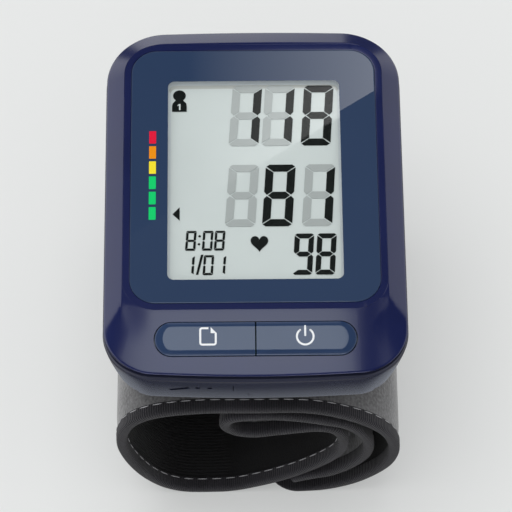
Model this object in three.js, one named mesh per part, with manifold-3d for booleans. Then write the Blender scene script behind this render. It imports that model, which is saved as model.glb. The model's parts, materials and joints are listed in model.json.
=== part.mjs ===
// Wrist blood pressure monitor, standing on its cuff, which is folded in on itself for storage.
// Sizes are in millimetres. +X is the right of the display, +Y its top edge and +Z is up.
// The origin is on the ground, below the middle of the whole.
import * as THREE from "three";
import { mergeVertices } from "three/addons/utils/BufferGeometryUtils.js";
import Module from "manifold-3d";

const wasm = await Module();
wasm.setup();

// Driving sizes of the body and the cuff
const bodyWidth = 68;
const bodyLength = 89;
const frontCornerRadius = 14;
const backCornerRadius = 12.8;
const casingDepth = 5.4;
const shellHeight = 14.2;
const partingGap = 0.5;
const cuffWidth = 63.6;
const cuffHeight = 44.3;
const strapBreadth = 75;
const strapThickness = 2.6;
const bodySetback = 0.7;

// Clearances
const gap = 0.3;
const overrun = 3;

// Steps round a corner, and sides of round pieces by their size
const cornerSteps = 8;
const holeSides = 12;
const barSides = 16;
const postSides = 20;
const drumSides = 28;

// Heights and places that the driving sizes give. Lengthwise they count from the middle of the cuff.
const bodyFront = -strapBreadth / 2 + bodySetback;
const bodyBack = bodyFront + bodyLength;
const shellBottom = cuffHeight + gap;
const shellTop = shellBottom + shellHeight;
const casingBottom = shellTop + partingGap;
const faceTop = casingBottom + casingDepth;
const bodyBounds = {
  left: -bodyWidth / 2,
  right: bodyWidth / 2,
  front: bodyFront,
  back: bodyBack,
  frontRadius: frontCornerRadius,
  backRadius: backCornerRadius,
};

// Materials
function plastic(color, roughness, metalness = 0) {
  return new THREE.MeshStandardMaterial({ color, roughness, metalness });
}
const navyPlastic = plastic(0x2a3560, 0.3);
const keyPlastic = plastic(0x2c3f63, 0.32);
const lensMaterial = plastic(0x1c2c4c, 0.08);
const glassMaterial = plastic(0xc9d1d3, 0.15);
const whitePlastic = plastic(0xe4e6e4, 0.5);
const rubberMaterial = plastic(0x2b2b2d, 0.85);
const boardMaterial = plastic(0x1d5a36, 0.55);
const chipMaterial = plastic(0x1b1b1d, 0.5);
const steelMaterial = plastic(0xb6babd, 0.3, 1);
const brassMaterial = plastic(0xb99a4e, 0.35, 1);
const tubeMaterial = plastic(0xd8dcd8, 0.4);
const cellMaterial = plastic(0x3c4148, 0.35, 0.6);
const velourMaterial = plastic(0x6b6c6e, 0.95);
const liningMaterial = plastic(0x3a3a3e, 0.9);
const bindingMaterial = plastic(0x4c4b50, 0.9);
const bladderMaterial = plastic(0x8a8f94, 0.5);

const monitor = new THREE.Group();
const assembly = new THREE.Group();
assembly.position.y = -(bodySetback + bodyLength - strapBreadth) / 2;
monitor.add(assembly);

// Turns a three.js geometry into a solid that can be cut and joined
function solidOf(geometry) {
  const bare = geometry.index ? geometry.toNonIndexed() : geometry.clone();
  bare.deleteAttribute("normal");
  bare.deleteAttribute("uv");
  const merged = mergeVertices(bare);
  return new wasm.Manifold(
    new wasm.Mesh({
      numProp: 3,
      vertProperties: merged.attributes.position.array,
      triVerts: new Uint32Array(merged.index.array),
    }),
  );
}

// Turns a solid back into a three.js geometry
function geometryOf(solid) {
  const mesh = solid.getMesh();
  const geometry = new THREE.BufferGeometry();
  geometry.setAttribute("position", new THREE.BufferAttribute(mesh.vertProperties, 3));
  geometry.setIndex(new THREE.BufferAttribute(mesh.triVerts, 1));
  return geometry;
}

function joined(first, ...others) {
  return others.reduce((whole, other) => whole.add(other), first);
}

function cutBy(solid, ...tools) {
  return tools.reduce((rest, tool) => rest.subtract(tool), solid);
}

// Adds a named piece to a group, at a place in it
function addPiece(name, shape, material, place = new THREE.Vector3(), group = assembly) {
  const geometry = shape.isBufferGeometry ? shape : geometryOf(shape);
  const piece = new THREE.Mesh(geometry, material);
  piece.name = name;
  piece.position.copy(place);
  group.add(piece);
  return piece;
}

// A box given by its limits
function boxGeometry(xLimits, yLimits, zLimits) {
  const limits = [xLimits, yLimits, zLimits];
  const sizes = limits.map(([low, high]) => high - low);
  const middles = limits.map(([low, high]) => (low + high) / 2);
  return new THREE.BoxGeometry(...sizes).translate(...middles);
}

function boxSolid(xLimits, yLimits, zLimits) {
  return solidOf(boxGeometry(xLimits, yLimits, zLimits));
}

// A box centred on a point in plan
function padSolid(x, y, width, length, zLimits) {
  return boxSolid([x - width / 2, x + width / 2], [y - length / 2, y + length / 2], zLimits);
}

// An upright round bar
function postSolid(x, y, radius, zLimits, sides = postSides) {
  const [low, high] = zLimits;
  const bar = new THREE.CylinderGeometry(radius, radius, high - low, sides);
  return solidOf(bar.rotateX(Math.PI / 2).translate(x, y, (low + high) / 2));
}

// A round bar along X or Y
function barAlongX(xLimits, y, z, radius, sides = barSides) {
  const [low, high] = xLimits;
  const bar = new THREE.CylinderGeometry(radius, radius, high - low, sides);
  return solidOf(bar.rotateZ(Math.PI / 2).translate((low + high) / 2, y, z));
}

function barAlongY(x, yLimits, z, radius, sides = postSides) {
  const [low, high] = yLimits;
  const bar = new THREE.CylinderGeometry(radius, radius, high - low, sides);
  return solidOf(bar.translate(x, (low + high) / 2, z));
}

// Joins rings of equal count into a closed skin. Each ring turns left seen from the last one.
function loftGeometry(rings) {
  const count = rings[0].length;
  const lastRing = (rings.length - 1) * count;
  const index = [];
  for (let start = 0; start < lastRing; start += count) {
    for (let i = 0; i < count; i += 1) {
      const a = start + i;
      const b = start + ((i + 1) % count);
      index.push(a, b, b + count, a, b + count, a + count);
    }
  }
  for (let i = 1; i < count - 1; i += 1) {
    index.push(0, i + 1, i, lastRing, lastRing + i, lastRing + i + 1);
  }
  const positions = rings.flat().flatMap((point) => [point.x, point.y, point.z]);
  const geometry = new THREE.BufferGeometry();
  geometry.setAttribute("position", new THREE.Float32BufferAttribute(positions, 3));
  geometry.setIndex(index);
  return geometry;
}

// A rounded rectangle moved in by an inset, at one height
function roundedRing(bounds, inset, z, steps = cornerSteps) {
  const { left, right, front, back, frontRadius, backRadius } = bounds;
  const corners = [
    [right - frontRadius, front + frontRadius, frontRadius, -Math.PI / 2],
    [right - backRadius, back - backRadius, backRadius, 0],
    [left + backRadius, back - backRadius, backRadius, Math.PI / 2],
    [left + frontRadius, front + frontRadius, frontRadius, Math.PI],
  ];
  return corners.flatMap(([x, y, radius, start]) =>
    Array.from({ length: steps + 1 }, (_, i) => {
      const angle = start + ((i / steps) * Math.PI) / 2;
      const reach = radius - inset;
      return new THREE.Vector3(x + reach * Math.cos(angle), y + reach * Math.sin(angle), z);
    }),
  );
}

// A stack of such rectangles from a list of insets and heights
function roundedLoft(bounds, levels, steps = cornerSteps) {
  return loftGeometry(levels.map(([inset, z]) => roundedRing(bounds, inset, z, steps)));
}

function grownBounds(bounds, growth) {
  return {
    left: bounds.left - growth,
    right: bounds.right + growth,
    front: bounds.front - growth,
    back: bounds.back + growth,
    frontRadius: bounds.frontRadius + growth,
    backRadius: bounds.backRadius + growth,
  };
}

// Display lens, set in a groove of the casing's face
const lensSideMargin = 5.85;
const lensFrontMargin = 15.9;
const lensBackMargin = 6.5;
const lensCornerRadius = 6;
const lensThickness = 1.2;
const lensEdgeBevel = 0.25;
const grooveWidth = 1.5;
const grooveDepth = 0.9;
const lensFront = bodyFront + lensFrontMargin;
const lensBack = bodyBack - lensBackMargin;
const lensRight = bodyWidth / 2 - lensSideMargin;
const lensBounds = {
  left: -lensRight,
  right: lensRight,
  front: lensFront,
  back: lensBack,
  frontRadius: lensCornerRadius,
  backRadius: lensCornerRadius,
};
const lensBottom = faceTop - lensThickness;
addPiece(
  "display_lens",
  roundedLoft(lensBounds, [
    [0, lensBottom],
    [0, faceTop - lensEdgeBevel],
    [lensEdgeBevel, faceTop],
  ]),
  lensMaterial,
);

// Liquid crystal display stack below the lens
const lcdSideMargin = 7.65;
const lcdFrontMargin = 4.8;
const lcdBackMargin = 7.3;
const glassThickness = 1.2;
const polariserThickness = 0.6;
const polariserInset = 0.8;
const deckThickness = 1.4;
const frameWall = 2;
const backlightThickness = 2.4;
const connectorBreadth = 2.4;
const connectorInset = 2.5;
const boardThickness = 1.2;
const boardDrop = 7.6;
const lcdFront = lensFront + lcdFrontMargin;
const lcdBack = lensBack - lcdBackMargin;
const lcdTop = lensBottom - gap;
const lcdBottom = lcdTop - polariserThickness - glassThickness;
const pocketFloor = lensBottom - gap;
const deckUnderside = pocketFloor - deckThickness;
const boardTop = faceTop - boardDrop;
const boardBottom = boardTop - boardThickness;
const lcdLimitsX = [lcdSideMargin - lensRight, lensRight - lcdSideMargin];

function grownLimits([low, high], growth) {
  return [low - growth, high + growth];
}

addPiece(
  "lcd_panel",
  joined(
    boxSolid(lcdLimitsX, [lcdFront, lcdBack], [lcdBottom, lcdTop - polariserThickness]),
    boxSolid(
      grownLimits(lcdLimitsX, -polariserInset),
      grownLimits([lcdFront, lcdBack], -polariserInset),
      [lcdBottom + glassThickness / 2, lcdTop],
    ),
  ),
  glassMaterial,
);
const connectorBack = lcdFront + gap + connectorBreadth;
const backlightTop = lcdBottom - gap;
addPiece(
  "lcd_backlight",
  boxGeometry(
    lcdLimitsX,
    [connectorBack + gap, lcdBack],
    [backlightTop - backlightThickness, backlightTop],
  ),
  whitePlastic,
);
addPiece(
  "lcd_connector",
  boxGeometry(
    grownLimits(lcdLimitsX, -connectorInset),
    [lcdFront + gap, connectorBack],
    [boardTop + gap, backlightTop],
  ),
  rubberMaterial,
);
const frameTop = deckUnderside - gap;
const frameInnerX = grownLimits(lcdLimitsX, gap);
const frameInnerY = grownLimits([lcdFront, lcdBack], gap);
addPiece(
  "lcd_frame",
  cutBy(
    boxSolid(grownLimits(frameInnerX, frameWall), grownLimits(frameInnerY, frameWall), [
      boardTop + gap,
      frameTop,
    ]),
    boxSolid(frameInnerX, frameInnerY, [boardTop - overrun, frameTop + overrun]),
  ),
  whitePlastic,
);

// Screw places and sizes, shared by both covers and the screws
const screwSideMargin = 7.5;
const screwFrontMargin = 9.3;
const screwBackMargin = 8.2;
const screwRadius = 0.9;
const screwHeadRadius = 1.8;
const screwHeadHeight = 1.4;
const screwLength = 13;
const bossRadius = 2.6;
const postRadius = 2.4;
const bossHeight = 9.4;
const pilotDepth = 4.4;
const bossTop = shellBottom + bossHeight;
const screwPlaces = [bodyFront + screwFrontMargin, bodyBack - screwBackMargin].flatMap((y) =>
  [-1, 1].map((side) => [side * (bodyWidth / 2 - screwSideMargin), y]),
);

// Sloped bezel in front of the lens, which carries the two keys
const bezelSlope = THREE.MathUtils.degToRad(14.5);
const bezelThickness = 1.6;
const bezelRim = 0.4;
const bezelStart = lensFront - grooveWidth - bezelRim;
const keySlotDistance = 6.6;
const bezelGroup = new THREE.Group();
bezelGroup.position.set(
  0,
  bezelStart - keySlotDistance * Math.cos(bezelSlope),
  faceTop - keySlotDistance * Math.sin(bezelSlope),
);
bezelGroup.rotation.x = bezelSlope;
assembly.add(bezelGroup);
bezelGroup.updateMatrix();

// Everything above the bezel's plane, sunk below it by a depth
function aboveBezel(depth) {
  const slab = boxGeometry(
    grownLimits([-bodyWidth / 2, bodyWidth / 2], overrun),
    [-bodyLength / 2, keySlotDistance + bezelThickness],
    [-depth, casingDepth + overrun],
  );
  return solidOf(slab.applyMatrix4(bezelGroup.matrix));
}

// Key outline: half of a long slot with round ends
const slotSideMargin = 11.3;
const slotLength = bodyWidth - 2 * slotSideMargin;
const slotBreadth = 8;
const keySplit = 0.4;
const keyProud = 0.95;
const keyChamferWidth = 1.1;
const keyChamferHeight = 0.7;
const keyFlangeWidth = 0.5;
const keyFlangeThickness = 0.5;
const keyTravel = 0.8;
const stubRadius = 1;
const slotBounds = {
  left: -slotLength / 2,
  right: slotLength / 2,
  front: -slotBreadth / 2,
  back: slotBreadth / 2,
  frontRadius: slotBreadth / 2,
  backRadius: slotBreadth / 2,
};

// Top cover: a bevelled tray with the lens pocket, display opening, key slot and four posts
const bevelRun = 4.2;
const bevelDrop = 3.1;
const bevelCrown = 0.25;
const lowerEdgeRound = 0.5;
const casingWall = 1.8;
const deckShoulder = 1;
const casingOuter = cutBy(
  solidOf(
    roundedLoft(bodyBounds, [
      [lowerEdgeRound, casingBottom],
      [0, casingBottom + lowerEdgeRound],
      [0, faceTop - bevelDrop],
      [bevelRun / 2, faceTop - bevelDrop / 2 + bevelCrown],
      [bevelRun, faceTop],
    ]),
  ),
  aboveBezel(0),
);
const casingHollow = cutBy(
  solidOf(
    roundedLoft(bodyBounds, [
      [casingWall, casingBottom - overrun],
      [casingWall, deckUnderside - deckShoulder],
      [casingWall + deckShoulder, deckUnderside],
    ]),
  ),
  aboveBezel(bezelThickness),
);
const coverPosts = screwPlaces.map(([x, y]) =>
  postSolid(x, y, postRadius, [bossTop + gap, faceTop]).intersect(
    postSolid(x, y, postRadius + overrun, [bossTop, casingBottom]).add(casingOuter),
  ),
);
const pilotHoles = screwPlaces.map(([x, y]) =>
  postSolid(x, y, screwRadius + gap, [bossTop - overrun, bossTop + gap + pilotDepth], holeSides),
);
const keySlot = solidOf(
  roundedLoft(slotBounds, [
    [0, -bezelThickness - overrun],
    [0, casingDepth],
  ]).applyMatrix4(bezelGroup.matrix),
);
const keyRelief = solidOf(
  roundedLoft(grownBounds(slotBounds, keyFlangeWidth + gap), [
    [0, -casingDepth],
    [0, -bezelThickness],
  ]).applyMatrix4(bezelGroup.matrix),
);
const topCover = cutBy(
  joined(casingOuter.subtract(casingHollow), ...coverPosts),
  solidOf(
    roundedLoft(grownBounds(lensBounds, grooveWidth), [
      [0, faceTop - grooveDepth],
      [0, faceTop + overrun],
    ]),
  ),
  solidOf(
    roundedLoft(grownBounds(lensBounds, gap), [
      [0, pocketFloor],
      [0, faceTop + overrun],
    ]),
  ),
  boxSolid(frameInnerX, frameInnerY, [casingBottom, faceTop]),
  keySlot,
  keyRelief,
  ...pilotHoles,
);
addPiece("top_cover", topCover, navyPlastic);

// Battery bay at the back, for two cells side by side
const cellRadius = 5.25;
const cellSpacing = 11.2;
const bayBackMargin = 11.8;
const bayFront = bodyBack - (bayBackMargin + cellSpacing + 2 * (cellRadius + gap));

// Circuit board, in front of the battery bay, with a notch beside it for the pump
const boardSideMargin = 4.5;
const boardFrontMargin = 5.3;
const boardBackClearance = 1.6;
const boardBossClearance = 1.4;
const boardTongueLength = 13;
const pumpSideWidth = 18.5;
const boardLeft = -bodyWidth / 2 + boardSideMargin;
const boardRight = bodyWidth / 2 - pumpSideWidth;
const boardFront = bodyFront + boardFrontMargin;
const boardBack = bayFront - boardBackClearance;
const boardTongueHalf = bodyWidth / 2 - screwSideMargin - bossRadius - boardBossClearance;
const tongueBack = boardFront + boardTongueLength;
const boardOutline = new THREE.Shape([
  new THREE.Vector2(-boardTongueHalf, boardFront),
  new THREE.Vector2(boardTongueHalf, boardFront),
  new THREE.Vector2(boardTongueHalf, tongueBack),
  new THREE.Vector2(boardRight, tongueBack),
  new THREE.Vector2(boardRight, boardBack),
  new THREE.Vector2(boardLeft, boardBack),
  new THREE.Vector2(boardLeft, tongueBack),
  new THREE.Vector2(-boardTongueHalf, tongueBack),
]);
addPiece(
  "circuit_board",
  new THREE.ExtrudeGeometry(boardOutline, { depth: boardThickness, bevelEnabled: false }),
  boardMaterial,
  new THREE.Vector3(0, 0, boardBottom),
);

// Keys, with a retaining flange below the bezel and a stub above each switch
const switchSize = 4.5;
const switchHeight = 1.2;
const plungerRadius = 1.1;
const plungerTravel = 0.5;
const plungerHeight = 0.85;
const plungerProud = 0.6;
const plungerFloor = 0.3;
const stubClearance = 0.35;
const keyBottom = -bezelThickness - gap - keyFlangeThickness;
const plungerTop = boardTop + gap + switchHeight + plungerProud;
const keySideLength = slotLength / 2 - gap - keySplit / 2;
const keyCentre = keySplit / 2 + keySideLength / 2;
const stubHeightAbove = plungerTop + stubClearance + stubRadius * Math.sin(bezelSlope);
const stubReach = (bezelGroup.position.z - stubHeightAbove) / Math.cos(bezelSlope);
const switchY = bezelGroup.position.y + stubReach * Math.sin(bezelSlope);

// The side is 1 for the right key and -1 for the left key
function keySolid(side) {
  const innerEdge = (side * keySplit) / 2;
  const capHalf = boxSolid(
    side > 0 ? [innerEdge, slotLength] : [-slotLength, innerEdge],
    [-slotBreadth, slotBreadth],
    [-casingDepth, casingDepth],
  );
  const cap = solidOf(
    roundedLoft(slotBounds, [
      [gap, keyBottom],
      [gap, keyProud - keyChamferHeight],
      [gap + keyChamferWidth, keyProud],
    ]),
  );
  const flange = solidOf(
    roundedLoft(slotBounds, [
      [-keyFlangeWidth, keyBottom],
      [-keyFlangeWidth, keyBottom + keyFlangeThickness],
    ]),
  );
  const stub = postSolid(side * keyCentre, 0, stubRadius, [-stubReach, keyBottom + gap], holeSides);
  return joined(cap, flange).intersect(capHalf).add(stub);
}
addPiece("memory_button", keySolid(-1), keyPlastic, undefined, bezelGroup);
addPiece("start_button", keySolid(1), keyPlastic, undefined, bezelGroup);

// Tactile switches on the board, below the keys
function addSwitch(name, side) {
  const place = new THREE.Vector3(side * keyCentre, switchY, boardTop + gap);
  const wellLimits = [plungerFloor, switchHeight + overrun];
  const well = postSolid(0, 0, plungerRadius + gap, wellLimits, holeSides);
  const body = padSolid(0, 0, switchSize, switchSize, [0, switchHeight]).subtract(well);
  addPiece(name, body, chipMaterial, place);
  const plungerBottom = switchHeight + plungerProud - plungerHeight;
  addPiece(
    name + "_plunger",
    postSolid(0, 0, plungerRadius, [plungerBottom, plungerBottom + plungerHeight], holeSides),
    steelMaterial,
    place,
  );
}
addSwitch("memory_switch", -1);
addSwitch("start_switch", 1);

// Chips and the buzzer, below the board
const chipSize = 10;
const chipHeight = 1.2;
const chipX = -8;
const chipShare = 0.46875;
const chipY = THREE.MathUtils.lerp(boardFront, boardBack, chipShare);
const chipTop = boardBottom - gap;
addPiece(
  "main_chip",
  padSolid(chipX, chipY, chipSize, chipSize, [chipTop - chipHeight, chipTop]),
  chipMaterial,
);
const buzzerRadius = 4.5;
const buzzerHeight = 3.5;
const buzzerHoleRadius = 1;
const buzzerHoleDepth = 1;
const buzzerX = -11.7;
const buzzerShare = 0.13125;
const buzzerY = THREE.MathUtils.lerp(boardFront, boardBack, buzzerShare);
addPiece(
  "buzzer",
  cutBy(
    postSolid(buzzerX, buzzerY, buzzerRadius, [chipTop - buzzerHeight, chipTop], drumSides),
    postSolid(
      buzzerX,
      buzzerY,
      buzzerHoleRadius,
      [chipTop - buzzerHeight - overrun, chipTop - buzzerHeight + buzzerHoleDepth],
      holeSides,
    ),
  ),
  chipMaterial,
);

// Air system: manifold over the nozzle, release valve to its left, pump to its right
const shellWall = 1.6;
const floorTop = shellBottom + shellWall;
const clipPadHeight = 0.8;
const padTop = floorTop + clipPadHeight;
const airX = 0;
const airShare = 0.73125;
const airY = THREE.MathUtils.lerp(boardFront, boardBack, airShare);
const manifoldWidth = 12;
const manifoldLength = 8;
const manifoldHeight = 5.6;
const barbRadius = 1.1;
const barbLength = 2.4;
const barbHeight = 2.8;
const manifoldBottom = padTop + gap;
const barbZ = manifoldBottom + barbHeight;
const manifoldLimitsX = [airX - manifoldWidth / 2, airX + manifoldWidth / 2];
addPiece(
  "air_manifold",
  joined(
    padSolid(airX, airY, manifoldWidth, manifoldLength, [
      manifoldBottom,
      manifoldBottom + manifoldHeight,
    ]),
    barAlongX(grownLimits(manifoldLimitsX, barbLength), airY, barbZ, barbRadius, holeSides),
  ),
  whitePlastic,
);
const sensorSize = 7;
const sensorPortRadius = 1.3;
const sensorBodyHeight = 1.5;
addPiece(
  "pressure_sensor",
  joined(
    padSolid(airX, airY, sensorSize, sensorSize, [chipTop - sensorBodyHeight, chipTop]),
    postSolid(
      airX,
      airY,
      sensorPortRadius,
      [manifoldBottom + manifoldHeight + gap, chipTop - sensorBodyHeight / 2],
      holeSides,
    ),
  ),
  chipMaterial,
);

// Release valve with a sliding plunger at its outer end
const valveSideMargin = 7;
const valveBreadth = 8;
const valveHeight = 7.6;
const valveSpacing = 9;
const valvePlungerRadius = 1.4;
const valvePlungerLength = 4;
const valvePlungerProud = 1.4;
const valveRight = manifoldLimitsX[0] - valveSpacing;
const valveLeft = valveSideMargin - bodyWidth / 2;
const valveBoreDepth = valvePlungerLength - valvePlungerProud + gap + valvePlungerProud / 2;
addPiece(
  "release_valve",
  cutBy(
    joined(
      boxSolid(
        [valveLeft, valveRight],
        [airY - valveBreadth / 2, airY + valveBreadth / 2],
        [padTop + gap, padTop + gap + valveHeight],
      ),
      barAlongX([valveRight - gap, valveRight + barbLength], airY, barbZ, barbRadius, holeSides),
    ),
    barAlongX(
      [valveLeft - overrun, valveLeft + valveBoreDepth],
      airY,
      barbZ,
      valvePlungerRadius + gap,
    ),
  ),
  chipMaterial,
);
addPiece(
  "valve_plunger",
  barAlongX(
    [valveLeft - valvePlungerProud, valveLeft - valvePlungerProud + valvePlungerLength],
    airY,
    barbZ,
    valvePlungerRadius,
  ),
  brassMaterial,
);

// Pump: motor, crank and head in line, beside the board
const motorRadius = 5.3;
const motorSetback = 19.8;
const motorBoreRadius = 1.3;
const motorBoreDepth = 4;
const pumpSideMargin = 11.5;
const pumpBackClearance = 2.4;
const pumpX = bodyWidth / 2 - pumpSideMargin;
const crankRadius = 3.2;
const crankThickness = 1.2;
const crankPinRadius = 0.8;
const crankPinOffset = 1.6;
const crankPinLength = 1.3;
const crankShaftLength = 3.4;
const headWidth = 12;
const headLength = 9.6;
const headHeight = 10.2;
const headBarbHeight = 5.4;
const pumpZ = floorTop + gap + motorRadius;
const headFront = bayFront - pumpBackClearance - headLength;
const crankBack = headFront - gap - crankPinLength;
const crankFront = crankBack - crankThickness;
const motorBack = crankFront - gap;
const motorFront = bodyFront + motorSetback;
const headBottom = floorTop + gap;
addPiece(
  "pump_motor",
  cutBy(
    barAlongY(pumpX, [motorFront, motorBack], pumpZ, motorRadius, drumSides),
    barAlongY(pumpX, [motorBack - motorBoreDepth, motorBack + overrun], pumpZ, motorBoreRadius),
  ),
  steelMaterial,
);
addPiece(
  "pump_crank",
  joined(
    barAlongY(0, [-crankShaftLength - gap, crankThickness / 2], 0, motorBoreRadius - gap),
    barAlongY(0, [0, crankThickness], 0, crankRadius, drumSides),
    barAlongY(
      crankPinOffset,
      [crankThickness / 2, crankThickness + crankPinLength],
      0,
      crankPinRadius,
    ),
  ),
  brassMaterial,
  new THREE.Vector3(pumpX, crankFront, pumpZ),
);
const headLeft = pumpX - headWidth / 2;
const headMiddleY = headFront + headLength / 2;
addPiece(
  "pump_head",
  joined(
    padSolid(pumpX, headMiddleY, headWidth, headLength, [headBottom, headBottom + headHeight]),
    barAlongX(
      [headLeft - barbLength, headLeft + gap],
      headMiddleY,
      headBottom + headBarbHeight,
      barbRadius,
      holeSides,
    ),
  ),
  whitePlastic,
);

// Air tubes, pushed up to the barbs' ends
const tubeRadius = 1.6;
const tubeSides = 8;
const tubeSteps = 12;
const tubeBend = 1.275;

// A round section swept through points
function sweptGeometry(points, radius, sides, steps) {
  const section = new THREE.Shape(
    Array.from({ length: sides }, (_, i) => {
      const angle = (i / sides) * 2 * Math.PI;
      return new THREE.Vector2(radius * Math.cos(angle), radius * Math.sin(angle));
    }),
  );
  const extrudePath = new THREE.CatmullRomCurve3(points);
  return new THREE.ExtrudeGeometry(section, { steps, extrudePath, bevelEnabled: false });
}
const manifoldBarbEnd = manifoldLimitsX[1] + barbLength + gap;
const headBarbEnd = headLeft - barbLength - gap;
addPiece(
  "pump_tube",
  sweptGeometry(
    [
      new THREE.Vector3(manifoldBarbEnd, airY, barbZ),
      new THREE.Vector3(manifoldBarbEnd + tubeBend, airY, barbZ),
      new THREE.Vector3(headBarbEnd - tubeBend, headMiddleY, headBottom + headBarbHeight),
      new THREE.Vector3(headBarbEnd, headMiddleY, headBottom + headBarbHeight),
    ],
    tubeRadius,
    tubeSides,
    tubeSteps,
  ),
  tubeMaterial,
);
addPiece(
  "valve_tube",
  sweptGeometry(
    [
      new THREE.Vector3(valveRight + barbLength + gap, airY, barbZ),
      new THREE.Vector3(manifoldLimitsX[0] - barbLength - gap, airY, barbZ),
    ],
    tubeRadius,
    tubeSides,
    1,
  ),
  tubeMaterial,
);

// Nozzle through the floor, the clip plate and the cuff's outer fabric
const nozzleRadius = 2;
const nozzleBore = 0.8;
const outerFabricThickness = 1;
const nozzleHoleRadius = nozzleRadius + gap;
const nozzleBottom = cuffHeight - outerFabricThickness;
const nozzleTop = manifoldBottom - gap;
const nozzleProfile = [
  [nozzleBore, nozzleBottom],
  [nozzleRadius, nozzleBottom],
  [nozzleRadius, nozzleTop],
  [nozzleBore, nozzleTop],
  [nozzleBore, nozzleBottom],
].map(([radius, z]) => new THREE.Vector2(radius, z));
addPiece(
  "cuff_nozzle",
  new THREE.LatheGeometry(nozzleProfile, postSides).rotateX(Math.PI / 2),
  whitePlastic,
  new THREE.Vector3(airX, airY, 0),
);

// Cells along X, loaded through a door in the left wall, with their springs and contacts
const bayRightMargin = 12;
const cellNubRadius = 1.9;
const cellNubLength = 0.8;
const contactThickness = 0.5;
const contactWidth = 8;
const doorInnerMargin = 4.8;
const springLength = 5;
const springWire = 0.35;
const springTurns = 3;
const springSides = 5;
const springStepsPerTurn = 9;
const springSmallRadius = 1.9;
const springLargeRadius = 3.2;
const doorInner = -bodyWidth / 2 + doorInnerMargin;
const bridgeLeft = doorInner + gap;
const bayLeft = bridgeLeft + contactThickness + gap;
const cellLength = bodyWidth / 2 - (bayRightMargin + springLength + 2 * gap) - bayLeft;
const bayRight = bayLeft + cellLength + gap + springLength + gap;
const bayWall = 1.4;
const cellZ = floorTop + gap + cellRadius;
const cellYs = [0, 1].map((row) => bayFront + gap + cellRadius + row * cellSpacing);
const bayBack = cellYs[1] + cellRadius + gap;

// A cell with its positive nub at the far end
function cellGeometry() {
  const bodyEnd = cellLength - cellNubLength;
  const profile = [
    [0, 0],
    [cellRadius, 0],
    [cellRadius, bodyEnd],
    [cellNubRadius, bodyEnd],
    [cellNubRadius, cellLength],
    [0, cellLength],
  ].map(([radius, length]) => new THREE.Vector2(radius, length));
  return new THREE.LatheGeometry(profile, drumSides).rotateZ(-Math.PI / 2);
}
const frontCell = addPiece(
  "battery_front",
  cellGeometry(),
  cellMaterial,
  new THREE.Vector3(bayLeft + cellLength, cellYs[0], cellZ),
);
frontCell.rotation.z = Math.PI;
addPiece(
  "battery_back",
  cellGeometry(),
  cellMaterial,
  new THREE.Vector3(bayRight - gap - cellLength, cellYs[1], cellZ),
);

// A conical coil, narrow where it meets the cell
function springGeometry() {
  const steps = springTurns * springStepsPerTurn;
  const points = Array.from({ length: steps + 1 }, (_, i) => {
    const share = i / steps;
    const angle = share * springTurns * 2 * Math.PI;
    const radius = THREE.MathUtils.lerp(springLargeRadius, springSmallRadius, share);
    const x = THREE.MathUtils.lerp(springWire, springLength - springWire, share);
    return new THREE.Vector3(x, radius * Math.cos(angle), radius * Math.sin(angle));
  });
  return sweptGeometry(points, springWire, springSides, steps);
}
const innerSpring = addPiece(
  "battery_spring_inner",
  springGeometry(),
  steelMaterial,
  new THREE.Vector3(bayRight - gap / 2, cellYs[0], cellZ),
);
innerSpring.rotation.z = Math.PI;
addPiece(
  "battery_spring_door",
  springGeometry(),
  steelMaterial,
  new THREE.Vector3(bayLeft - gap / 2, cellYs[1], cellZ),
);
["front", "back"].forEach((row, i) => {
  addPiece(
    "battery_contact_" + row,
    boxGeometry(
      [bayRight, bayRight + contactThickness],
      grownLimits([cellYs[i], cellYs[i]], contactWidth / 2),
      grownLimits([cellZ, cellZ], contactWidth / 2),
    ),
    brassMaterial,
  );
});
addPiece(
  "battery_bridge",
  boxGeometry(
    [bridgeLeft, bridgeLeft + contactThickness],
    [cellYs[0] - contactWidth / 2, cellYs[1] + contactWidth / 2],
    grownLimits([cellZ, cellZ], contactWidth / 2),
  ),
  brassMaterial,
);

// Bottom cover: tapered shell with a rounded foot and a small lip below the parting line
const lipInset = 0.5;
const footInset = 2.8;
const footRound = 1;
const lipRound = 0.3;
const shellCurve = 1.4;
const footCurve = 1.5;
function shellRing(share, extra) {
  const lean = Math.max(0, 1 - share) ** shellCurve;
  const inset = lipInset + (footInset - lipInset) * lean + extra;
  return roundedRing(bodyBounds, inset, shellBottom + share * shellHeight);
}
const footShare = footRound / shellHeight;
const lipShare = lipRound / shellHeight;
const roundShares = [1, 0.3, 0];
const wallShares = [0.35, 0.65];
const shellOuter = solidOf(
  loftGeometry([
    ...roundShares.map((share) =>
      shellRing(footShare * (1 - share) ** footCurve, footRound * share),
    ),
    ...wallShares.map((share) => shellRing(share, 0)),
    shellRing(1 - lipShare, 0),
    shellRing(1, lipRound),
  ]),
);
const hollowTopShare = 1 + overrun / shellHeight;
const shellHollow = solidOf(
  loftGeometry(
    [shellWall / shellHeight, ...wallShares, hollowTopShare].map((share) =>
      shellRing(share, shellWall),
    ),
  ),
);

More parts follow.
